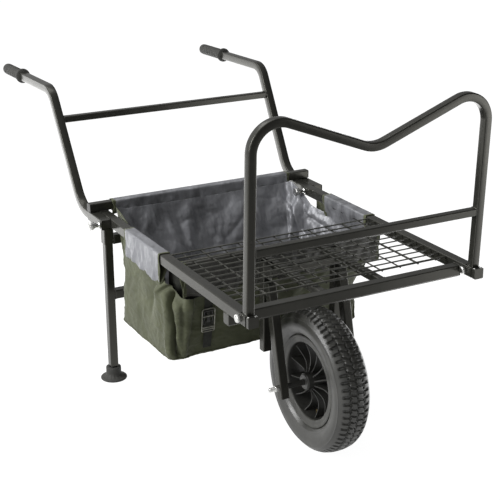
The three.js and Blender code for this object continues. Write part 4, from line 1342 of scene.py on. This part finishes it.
class TROLLEY_OT_strap(Step, bpy.types.Operator):
    """Builds the webbing strap and its release buckle on the bag's front"""

    bl_idname = "trolley.strap"
    bl_label = "Bag Strap"

    # Lengths are in millimetres. The wall leans back by lean from its top to its foot
    middle_x = -236.0
    width = 25.0
    thickness = 1.6
    edge_power = 0.35
    # The band's waves off the wall and across it, as (height, length for each radian)
    wave, sway = (1.2, 17), (0.8, 31)
    # A plate's pillowed edge: how far it draws in, the power that delays it, and the share of its arc
    pillow, pillow_power, pillow_share = 1.1, 6, 0.98
    buckle_z = 353.0
    wall_y, wall_lean, wall_top, wall_height = 176, 29, 507, 262
    # Runs of webbing: top, bottom and lift off the wall
    runs = ((440, 358, 8.0), (346, 268, 9.0), (352, 318, 11.6))
    # The ladder's frame from the buckle's middle, and its bars as (height, radius)
    ladder_frame = ((-19, -31), (-17, -34), (17, -34), (19, -31), (19, 30), (15, 34), (-15, 34), (-19, 30))
    ladder_bars = ((-27, 2.4), (-21, 2.8), (12, 2.4))
    # The clip's tongue, and its right prong
    tongue = ((-5, 26), (-5, -8), (5, -8), (5, 26))
    prong = ((12, 28), (12, 4), (15.6, -6), (13.8, -13), (9.6, -10))

    def wall(self, z):
        """How far back the bag's front wall is at a height."""
        return self.wall_y + self.wall_lean * (self.wall_top - z) / self.wall_height

    def band(self, shape, top, bottom, lift):
        """A flat woven band down the wall, a little wavy. Its section is a superellipse."""
        z = np.linspace(top, bottom, 44)
        off, aside = (height * np.sin((top - z) / length) for height, length in (self.wave, self.sway))
        points = np.stack([self.middle_x + aside, self.wall(z) - lift - off, z], axis=-1)
        directions = np.gradient(points, axis=0)
        directions /= np.linalg.norm(directions, axis=1)[:, None]
        round_section = circle(1, 20)
        section = np.sign(round_section) * np.abs(round_section) ** self.edge_power
        section = section * (self.width * MM / 2, self.thickness * MM / 2)
        shape.tube(carried(section, from_axle(points), directions, X))

    def plate(self, shape, outline, lift, thickness):
        """A flat plate with a pillowed edge: its outline shrinks along a quarter circle near each face."""
        outline = np.asarray(outline, float)
        centre = outline.mean(axis=0)
        reach = outline - centre
        size = np.linalg.norm(reach, axis=1)[:, None]
        rings = []
        for share in np.linspace(-1, 1, 7):
            inset = self.pillow * (1 - math.sqrt(1 - abs(share) ** self.pillow_power * self.pillow_share))
            flat = centre + reach * (size - inset) / size
            z = self.buckle_z + flat[:, 1]
            y = self.wall(z) - lift - share * thickness / 2
            rings.append(np.stack([self.middle_x + flat[:, 0], y, z], axis=-1))
        shape.tube(from_axle(np.array(rings)))

    def bar(self, shape, corners, radius, lift, closed=False):
        """A round bar along corners given from the buckle's middle, a lift off the bag's wall."""
        corners = np.asarray([*corners, corners[0]] if closed else corners, float)
        reach = reach_along(corners)
        even = np.linspace(0, reach[-1], max(4, round(reach[-1] / 2)), endpoint=not closed)
        x, z = (at_reach(corners, reach, even) + (self.middle_x, self.buckle_z)).T
        points = np.stack([x, self.wall(z) - lift, z], axis=-1)
        shape.cord(from_axle(points), radius * MM, sides=10, closed=closed)

    def ladder(self):
        """A ladder frame of round bars."""
        shape = Shape()
        self.bar(shape, self.ladder_frame, 1.9, 12.0, closed=True)
        for height, radius in self.ladder_bars:
            self.bar(shape, [(-18, height), (18, height)], radius, 12.5)
        return shape

    def clip(self):
        """The clip whose prongs go into the ladder's upper half."""
        shape = Shape()
        for side in (-1, 1):
            self.bar(shape, [(side * x, z) for x, z in self.prong], 2.2, 11.5)
        self.plate(shape, self.tongue, 11.0, 3.6)
        self.bar(shape, [(-14, 28), (14, 28)], 2.4, 12.5)
        return shape

    def build(self):
        webbing = Shape()
        for top, bottom, lift in self.runs:
            self.band(webbing, top, bottom, lift)
        webbing.piece("bag_webbing", "frame", "webbing", "bag_strap", slot="webbing", smooth_degrees=50)
        self.clip().piece("release_buckle", "frame", "moulding", "bag_buckle", slot="plastic",
                          smooth_degrees=40)
        self.ladder().piece("buckle_ladder", "frame", "clip", slot="zinc", smooth_degrees=40)


# Fittings: plated clamps, the axle, the feet and the weld beads


class TROLLEY_OT_clamps(Step, bpy.types.Operator):
    """Builds the plated clamp knobs and screws"""

    bl_idname = "trolley.clamps"
    bl_label = "Clamps"

    # Rows are (radius, distance, flute share) in millimetres
    screw = 4.0
    flutes = 18
    flute_depth = 0.9 * MM

    def head(self, start, length, radius):
        """A fluted head with chamfered rims and a low dome."""
        end = start + length
        return [(radius - 1.6, start, 0), (radius - 0.4, start + 0.4, 0.2), (radius, start + 1.2, 1),
                (radius, end - 2.6, 1), (radius - 0.8, end - 1.6, 0.5), (radius * 0.72, end - 0.7, 0),
                (radius * 0.4, end - 0.15, 0), (0, end, 0)]

    def short(self, length):
        """A knob close against its tube: screw, neck and head."""
        neck = length - 11
        return [(0, 0, 0), (self.screw, 0, 0), (self.screw, neck, 0), (7, neck, 0), (7.5, neck + 0.5, 0),
                (7.5, neck + 2.4, 0), (6.8, neck + 3, 0), *self.head(neck + 3, 8, 10.5)]

    def long(self, length):
        """A knob on a turned body: screw, waisted body with two collars, and head."""
        body = length - 36
        waist = ((9.2, 0), (10, 0.8), (10, 5), (9.2, 5.8), (7.6, 7), (7.2, 12), (7.6, 16), (9.2, 17.5),
                 (10, 18.3), (10, 21), (9, 22))
        return [(0, 0, 0), (self.screw, 0, 0), (self.screw, body, 0),
                *((radius, body + at, 0) for radius, at in waist), *self.head(body + 22, 14, 12.5)]

    def knob(self, node, axis, profile):
        """Turns one knob about its node's middle line, from its screw's end outward."""
        length = float(np.abs(extent(node) @ axis)) / MM
        start = middle(node) - axis * length / 2 * MM
        shape = Shape().turned(in_metres(profile(length)), start, axis, self.flutes * 8, self.flutes,
                               self.flute_depth)
        shape.piece(f"{node}_plated", node, "chrome", node, slot="chrome", smooth_degrees=40)

    def build(self):
        for name, _ in SIDES:
            self.knob(f"hoop_knob_{name}", -X, self.short)
            self.knob(f"handle_knob_{name}", -X, self.long)
            self.knob(f"leg_screw_{name}", Y, self.short)


class TROLLEY_OT_axle(Step, bpy.types.Operator):
    """Builds the axle bolt, its nut, the bearings, the spacers and the valve"""

    bl_idname = "trolley.axle"
    bl_label = "Axle"

    pitch = 1.75 * MM
    thread_depth = 0.6 * MM
    threaded = 34 * MM
    rows_per_turn = 7
    tip = 1.2 * MM
    shank = 6 * MM
    corner = 9.5 * MM
    cone = math.tan(math.radians(60))
    face_share = 0.96
    race_stand = 2 * MM
    # Rows of (radius, distance) in millimetres, from the wheel's outer face inward and along the axle
    race = ((6.4, 11.7), (6.4, -1.4), (7, -2), (10, -2), (10.5, -1.5), (16.6, -1.5), (17, -2),
            (19.4, -2), (20, -1.4), (20, 0), (17.5, 0.2), (17.5, 11.7))
    spacer = ((6.3, 0), (7.9, 0), (8.5, 0.6), (8.5, 5), (7.9, 5.6), (7.9, 46.5), (8.5, 47.1), (8.5, 51.5),
              (7.9, 52.1), (6.3, 52.1))
    # The valve's stem and its ridged cap, with the ridges' share
    valve_rows = ((0, 0, 0), (4, 0, 0), (4, 8.5, 0), (3.4, 10, 0), (2.7, 10.5, 0), (2.7, 12, 0),
                  (3.3, 12.2, 0.3), (3.5, 12.8, 1), (3.5, 21.5, 1), (3.1, 23, 0.4), (1.8, 23.9, 0),
                  (0, 24, 0))

    def hexagon(self, start, end, bore=0.0):
        """A hexagonal bar across the corners, its ends cut by cones: the smaller of both radii."""
        turn = turns(96)
        flat = self.corner * math.cos(math.pi / 6)
        hexagon = flat / np.cos((turn + math.pi / 6) % (math.pi / 3) - math.pi / 6)
        depth = np.array([0, 0.25, 0.5, 0.75, 1, 1.3]) * MM
        along = np.concatenate([[start], start + depth, end - depth[::-1], [end]])
        limit = flat * self.face_share + self.cone * np.concatenate([depth, depth[::-1]])
        inner = np.full((1, len(turn)), bore)
        radius = np.concatenate([inner, np.minimum(hexagon[None], limit[:, None]), inner])
        return about_axle(along, radius, turn)

    def thread(self, start, end):
        """The shank: a triangle wave winds round its threaded end as one helix."""
        turn = turns(36)
        rows = round(self.threaded / self.pitch * self.rows_per_turn)
        along = np.concatenate([np.linspace(start, start + self.threaded, rows), [end]])
        reach = along[:, None] - start
        phase = reach / self.pitch - turn[None] / TURN
        wave = 1 - 2 * np.abs(phase % 1 - 0.5)
        cut = (reach < self.threaded - self.pitch) * self.thread_depth
        taper = np.clip(reach / self.tip, 0, 1) * self.tip
        return about_axle(along, self.shank - cut * wave - self.tip + taper, turn)

    def build(self):
        bolt_low, bolt_high = NODE_BOX["axle_bolt"]
        nut_low, nut_high = NODE_BOX["axle_nut"]
        head = NODE_BOX["fork_arm_right"][1][0]
        bolt = Shape().tube(self.thread(bolt_low[0], head))
        bolt.grid(self.hexagon(head, bolt_high[0]), wrap_columns=True)
        bolt.piece("axle_bolt_threaded", "frame", "chrome", "axle_bolt", slot="chrome", smooth_degrees=30)
        nut = Shape().grid(self.hexagon(nut_low[0], nut_high[0], self.shank), True, True)
        nut.piece("axle_nut_plated", "frame", "chrome", "axle_nut", slot="chrome", smooth_degrees=30)
        for name, side in SIDES:
            low, high = NODE_BOX[f"bearing_{name}"]
            face = (low if side < 0 else high) * X + AXLE_LINE - side * self.race_stand * X
            race = Shape().turned(in_metres(self.race), face, -side * X, 64, ring=True)
            race.piece(f"bearing_race_{name}", "wheel", "zinc", f"bearing_{name}", slot="zinc")
            start = NODE_BOX[f"axle_spacer_{name}"][0] * X + AXLE_LINE
            spacer = Shape().turned(in_metres(self.spacer), start, X, ring=True)
            spacer.piece(f"spacer_{name}", "frame", "moulding", f"axle_spacer_{name}", slot="plastic")
        start = middle("valve_stem") * (X + Y) + NODE_BOX["valve_stem"][0] * Z
        valve = Shape().turned(in_metres(self.valve_rows), start, Z, 72, 12, 0.5 * MM)
        valve.piece("valve_capped", "wheel", "brass", "valve_stem", slot="brass")


class TROLLEY_OT_caps(Step, bpy.types.Operator):
    """Closes the open bar below the rails and adds the small screws on the hoop's feet"""

    bl_idname = "trolley.caps"
    bl_label = "Caps"

    stand = 0.8 * MM
    depth = 4 * MM
    margin = 1.2 * MM
    corner = 3 * MM
    # The plug's pillow: share of its depth and how much smaller it is there
    pillow = ((0, 3 * MM), (0.02, 1.6 * MM), (0.15, 0.5 * MM), (0.3, 0), (1, 0))
    screw_radius = 3.2 * MM
    screw_height = 1.8 * MM
    # Across the foot from its middle and back from its front
    screws = ((-10 * MM, 6 * MM), (9 * MM, 5 * MM))

    def plug(self, shape, node, side):
        """A pillowed square plug in one end of a tube that runs across."""
        low, high = NODE_BOX[node]
        face = (low if side < 0 else high)[0] + side * self.stand
        size = high[2] - low[2] - self.margin
        rings = []
        for share, inset in self.pillow:
            square = rounded_square(size - inset, self.corner) + middle(node)[1:]
            rings.append(np.insert(square, 0, face - side * share * self.depth, axis=1))
        shape.tube(np.array(rings))

    def screw(self, shape, centre):
        """A domed head: its height follows a quarter circle."""
        dome = [(self.screw_radius * math.cos(t), self.screw_height * math.sin(t))
                for t in np.linspace(0, math.pi / 2, 7)]
        foot = [(0, -self.screw_height), (self.screw_radius, -self.screw_height)]
        shape.turned([*foot, *dome], centre, Z, 24)

    def build(self):
        plugs = Shape()
        for name, side in SIDES:
            self.plug(plugs, "lower_crossbar", side)
            low, high = NODE_BOX[f"hoop_foot_{name}"]
            screws = Shape()
            for across, behind in self.screws:
                self.screw(screws, np.array([(low[0] + high[0]) / 2 + across, low[1] + behind, high[2]]))
            screws.piece(f"hoop_foot_screws_{name}", "hoop", "chrome", slot="chrome", smooth_degrees=40)
        plugs.piece("crossbar_plugs", "frame", "lip", slot="plastic", smooth_degrees=40)


class TROLLEY_OT_feet(Step, bpy.types.Operator):
    """Builds the two ribbed rubber feet"""

    bl_idname = "trolley.feet"
    bl_label = "Feet"

    ribs = 16
    rib_depth = 1.1 * MM
    # From the ground up, as (radius, height, rib share) in millimetres: pad, ribbed skirt and collar
    rows = ((0, 0, 0), (34, 0, 0), (35, 0.8, 0), (37, 0.8, 0), (38.6, 0, 0), (39.7, 0.9, 0), (40, 2.4, 0),
            (39.8, 4.2, 0), (38.6, 5.4, 0), (36.6, 6.4, 0.1), (34, 7.6, 0.8), (30, 9.6, 1), (26.5, 12.4, 1),
            (24.4, 15.4, 0.8), (23.3, 18, 0.2), (23, 20, 0), (23, 35.6, 0), (22.4, 37.8, 0), (20.6, 38.9, 0),
            (14, 39, 0), (12, 38.4, 0), (11, 36.8, 0), (11, 10, 0), (0, 10, 0))

    def build(self):
        for name, _ in SIDES:
            node = f"foot_{name}"
            start = middle(node) * (X + Y) + NODE_BOX[node][0] * Z
            foot = Shape().turned(in_metres(self.rows), start, Z, self.ribs * 8, self.ribs, self.rib_depth)
            foot.piece(f"foot_rubber_{name}", node, "rubber", node, slot="rubber", smooth_degrees=38)


class TROLLEY_OT_welds(Step, bpy.types.Operator):
    """Lays weld beads where the tubes meet"""

    bl_idname = "trolley.welds"
    bl_label = "Weld Beads"

    radius = 1.7 * MM
    ripple = 0.2
    pitch = 3.2 * MM
    step = 0.8 * MM
    corner_inset = 0.9 * MM
    bars = (("front_crossbar", "frame"), ("leg_socket_bar", "frame"), ("leg_crossbar", "leg_frame"),
            ("hoop_crossbar", "hoop"), ("handle_crossbar", "handle_frame"), ("fork_crown", "frame"))
    # Short beads along a handle's socket: length, starts as shares of it, and heights in from its edges
    short = 28 * MM
    short_starts = (0.06, 0.66)
    short_low, short_high = 1 * MM, 0.4 * MM

    def bead(self, shape, points, closed=False):
        """A round bead whose radius ripples along it as a cosine, one cycle to each puddle."""
        ends = np.array([*points, points[0]] if closed else points, float)
        reach = reach_along(ends)
        even = np.linspace(0, reach[-1], round(reach[-1] / self.step), endpoint=not closed)
        cycles = max(1, round(reach[-1] / self.pitch))
        swell = 1 + self.ripple * np.cos(TURN * cycles * even / reach[-1])
        shape.cord(at_reach(ends, reach, even), self.radius * swell[:, None, None], sides=6, closed=closed)

    def ring(self, shape, centre, axis, sizes):
        """A bead round a square tube's end, in the plane square to the axis."""
        corners = np.array([(1, 1), (-1, 1), (-1, -1), (1, -1)])
        corners = corners * (np.asarray(sizes) / 2 - self.corner_inset)
        self.bead(shape, np.insert(corners, axis, 0, axis=1) + centre, closed=True)

    def build(self):
        welds = {body: Shape() for body in ("frame", "hoop", "handle_frame", "leg_frame")}
        for bar, body in self.bars:
            low, high = NODE_BOX[bar]
            for end, inward in ((low[0], 1), (high[0], -1)):
                centre = (end + inward * self.radius / 3, *middle(bar)[1:])
                self.ring(welds[body], centre, 0, extent(bar)[1:])
        on_frame = welds["frame"]
        for name, side in SIDES:
            rail = f"rail_{name}"
            rail_low, rail_high = NODE_BOX[rail]
            for node, z in (("lower_crossbar", rail_low[2]), ("rear_cross_tube", rail_high[2]),
                            (f"leg_socket_{name}", rail_low[2])):
                centre = (middle(rail)[0], middle(node)[1], z)
                self.ring(on_frame, centre, 2, (extent(rail)[0], extent(node)[1]))
            stringer = f"stringer_{name}"
            x, _, z = middle(stringer)
            width, _, height = extent(stringer)
            self.ring(on_frame, (x, NODE_BOX[stringer][0][1] + self.radius / 3, z), 1, (width, height))
            low, high = NODE_BOX[f"handle_socket_{name}"]
            face = rail_low[0] if side < 0 else rail_high[0]
            for z in (low[2] + self.short_low, high[2] - self.short_high):
                for share in self.short_starts:
                    start = low[1] + share * (high[1] - low[1])
                    self.bead(on_frame, [(face, start, z), (face, start + self.short, z)])
        for body, shape in welds.items():
            shape.piece(f"weld_beads_{body}", body, "paint", slot="paint", smooth_degrees=60)


# Stage


class TROLLEY_OT_stage(Step, bpy.types.Operator):
    """Sets the floor, the lamps and the camera"""

    bl_idname = "trolley.stage"
    bl_label = "Stage"

    azimuth = math.radians(28.28)
    elevation = math.radians(19.81)
    roll = math.radians(-0.31)
    lens_mm = 86.24
    sensor_mm = 36.0
    eye_from_wheel = Vector((-1.5423, -2.4853, 1.4205))
    bright_side = (-0.96, 0.28, 0.0)
    # From here to the floor's end level: the floor's glow in reflections only, a painted reflection that
    # grades brighter behind on the left and fades far off
    floor_levels = (0.02, 1.15)
    floor_reach = 2.5
    floor_end = (1.7, 2.5)
    floor_end_level = 0.35
    floor_grey = 0.22
    floor_white = 0.96
    floor_drop = 0.5 * MM
    floor_radius = 14
    # The front side, its levels and reach make a bright patch on the front right in that painted reflection
    front_side = (0.87, 0.49, 0.0)
    front_levels = (0.0, 1.8)
    front_reach = 0.4
    world_levels = (0.04, 0.7)
    # Each lamp's place, target, width and power
    lamps = {
        "key_lamp": ((-2.7, 0.35, 2.1), (0, 0, 0.4), 1.1, 46),
        "side_lamp": ((-2.9, 0.05, 1.2), (0, -0.5, 0.3), 0.8, 19),
        "top_lamp": ((-0.6, 0.9, 3.4), (0, 0, 0.4), 2.2, 28),
        "fill_lamp": ((2.0, -2.4, 0.45), (0.25, -0.6, 0.55), 0.8, 3),
    }

    def build(self):
        bpy.context.scene.view_settings.view_transform = "Standard"
        self.floor()
        self.world()
        for name, settings in self.lamps.items():
            self.lamp(name, *settings)
        self.camera()

    def stand(self, name, data, matrix):
        """Puts a lamp or a camera in the scene."""
        made = bpy.data.objects.new(name, data)
        bpy.context.scene.collection.objects.link(made)
        made.matrix_world = matrix
        return made

    def camera(self):
        a, e, roll = self.azimuth, self.elevation, self.roll
        ahead = Vector((math.sin(a) * math.cos(e), math.cos(a) * math.cos(e), -math.sin(e)))
        right = Vector((math.cos(a), -math.sin(a), 0))
        up = right.cross(ahead)
        across = right * math.cos(roll) + up * math.sin(roll)
        above = up * math.cos(roll) - right * math.sin(roll)
        data = bpy.data.cameras.new("camera")
        data.lens = self.lens_mm
        data.sensor_width = self.sensor_mm
        turn = Matrix((across, above, -ahead)).transposed().to_4x4()
        eye = Matrix.Translation(Vector(WHEEL_CENTRE) + self.eye_from_wheel)
        bpy.context.scene.camera = self.stand("camera", data, eye @ turn)

    def lamp(self, name, place, target, width, power):
        data = bpy.data.lights.new(name, "AREA")
        data.size = width
        data.energy = power
        place, target = Vector(place), Vector(target)
        turn = (target - place).to_track_quat("-Z", "Y").to_matrix().to_4x4()
        self.stand(name, data, Matrix.Translation(place) @ turn)

    def seen(self, tree):
        """Two levels: 1 for the camera and through glass, and 1 for a reflection, else 0."""
        path = tree.nodes.new("ShaderNodeLightPath").outputs
        seen = combined(tree, "MAXIMUM", path["Is Camera Ray"], path["Is Transmission Ray"])
        return seen, path["Is Glossy Ray"]

    def graded(self, tree, vector, toward, start, end, low, high):
        """A level that changes along a direction, from low at start to high at end."""
        dot = tree.nodes.new("ShaderNodeVectorMath")
        dot.operation = "DOT_PRODUCT"
        dot.inputs[1].default_value = toward
        level = tree.nodes.new("ShaderNodeMapRange")
        level.interpolation_type = "SMOOTHSTEP"
        for name, value in (("From Min", start), ("From Max", end), ("To Min", low), ("To Max", high)):
            level.inputs[name].default_value = value
        tree.links.new(vector, dot.inputs[0])
        tree.links.new(dot.outputs["Value"], level.inputs["Value"])
        return level.outputs["Result"]

    def floor(self):
        """A round floor that looks white and still takes a soft shadow. Only in reflections does it glow,
        and it shows in the paint as a painted reflection that is bright behind on the left and on the front
        right."""
        rings = np.linspace(0.001, self.floor_radius, 8)[:, None]
        flat = rings[:, :, None] * circle(1, 64)
        points = np.insert(flat, 2, -self.floor_drop, axis=2)
        floor = Shape().grid(points, wrap_columns=True).mesh("floor")
        finish = Finish("floor", 0.9)
        finish.uniform("Base Color", (*[self.floor_grey] * 3, 1))
        finish.uniform("Specular IOR Level", 0)
        tree = finish.tree
        seen, glossy = self.seen(tree)
        reach = self.floor_reach
        level = self.graded(tree, finish.place, self.bright_side, -reach, reach, *self.floor_levels)
        end = self.graded(tree, finish.place, self.bright_side, *self.floor_end, 1, self.floor_end_level)
        patch = self.graded(tree, finish.place, self.front_side, -self.front_reach, self.front_reach,
                            *self.front_levels)
        # Painted reflection: emission that only glossy rays see
        shine = combined(tree, "MULTIPLY", combined(tree, "MULTIPLY_ADD", level, end, patch), glossy)
        light = finish.node("ShaderNodeEmission")
        finish.join(combined(tree, "MULTIPLY_ADD", seen, self.floor_white, shine), light.inputs["Strength"])
        both = finish.node("ShaderNodeAddShader")
        finish.join(finish.shader.outputs[0], both.inputs[0])
        finish.join(light.outputs[0], both.inputs[1])
        finish.join(both.outputs[0], tree.nodes["Material Output"].inputs["Surface"])
        floor.data.materials.append(finish.material)

    def world(self):
        """A pale surround, brighter behind on the left, and white where the camera sees it."""
        world = bpy.data.worlds.new("surround")
        world.use_nodes = True
        bpy.context.scene.world = world
        tree = world.node_tree
        background = tree.nodes["Background"]
        background.inputs["Color"].default_value = (1, 1, 1, 1)
        direction = tree.nodes.new("ShaderNodeTexCoord").outputs["Generated"]
        level = self.graded(tree, direction, self.bright_side, -1, 1, *self.world_levels)
        seen, _ = self.seen(tree)
        tree.links.new(combined(tree, "MAXIMUM", level, seen), background.inputs["Strength"])


class TROLLEY_PT_sidebar(bpy.types.Panel):
    """Lists the trolley's pieces and settings"""

    bl_label = "Fishing Trolley"
    bl_space_type = "VIEW_3D"
    bl_region_type = "UI"
    bl_category = "Trolley"

    def draw(self, context):
        for group in (context.scene.trolley_paint, context.scene.trolley_sizes):
            for name in group.bl_rna.properties.keys():
                if name not in ("rna_type", "name"):
                    self.layout.prop(group, name)
        for step in STEPS:
            self.layout.operator(step.bl_idname)


STEPS = (
    TROLLEY_OT_stage,
    TROLLEY_OT_finishes,
    TROLLEY_OT_hoop,
    TROLLEY_OT_handles,
    TROLLEY_OT_grips,
    TROLLEY_OT_tyre,
    TROLLEY_OT_rim,
    TROLLEY_OT_deck,
    TROLLEY_OT_bag,
    TROLLEY_OT_sleeves,
    TROLLEY_OT_strap,
    TROLLEY_OT_clamps,
    TROLLEY_OT_axle,
    TROLLEY_OT_caps,
    TROLLEY_OT_feet,
    TROLLEY_OT_welds,
)
CLASSES = (TrolleyPaint, TrolleySizes, *STEPS, TROLLEY_PT_sidebar)


def register():
    for cls in CLASSES:
        bpy.utils.register_class(cls)
    bpy.types.Scene.trolley_paint = bpy.props.PointerProperty(type=TrolleyPaint)
    bpy.types.Scene.trolley_sizes = bpy.props.PointerProperty(type=TrolleySizes)


def unregister():
    del bpy.types.Scene.trolley_sizes
    del bpy.types.Scene.trolley_paint
    for cls in reversed(CLASSES):
        bpy.utils.unregister_class(cls)


def main():
    register()
    for step in STEPS:
        group, name = step.bl_idname.split(".")
        getattr(getattr(bpy.ops, group), name)()


if __name__ == "__main__":
    main()
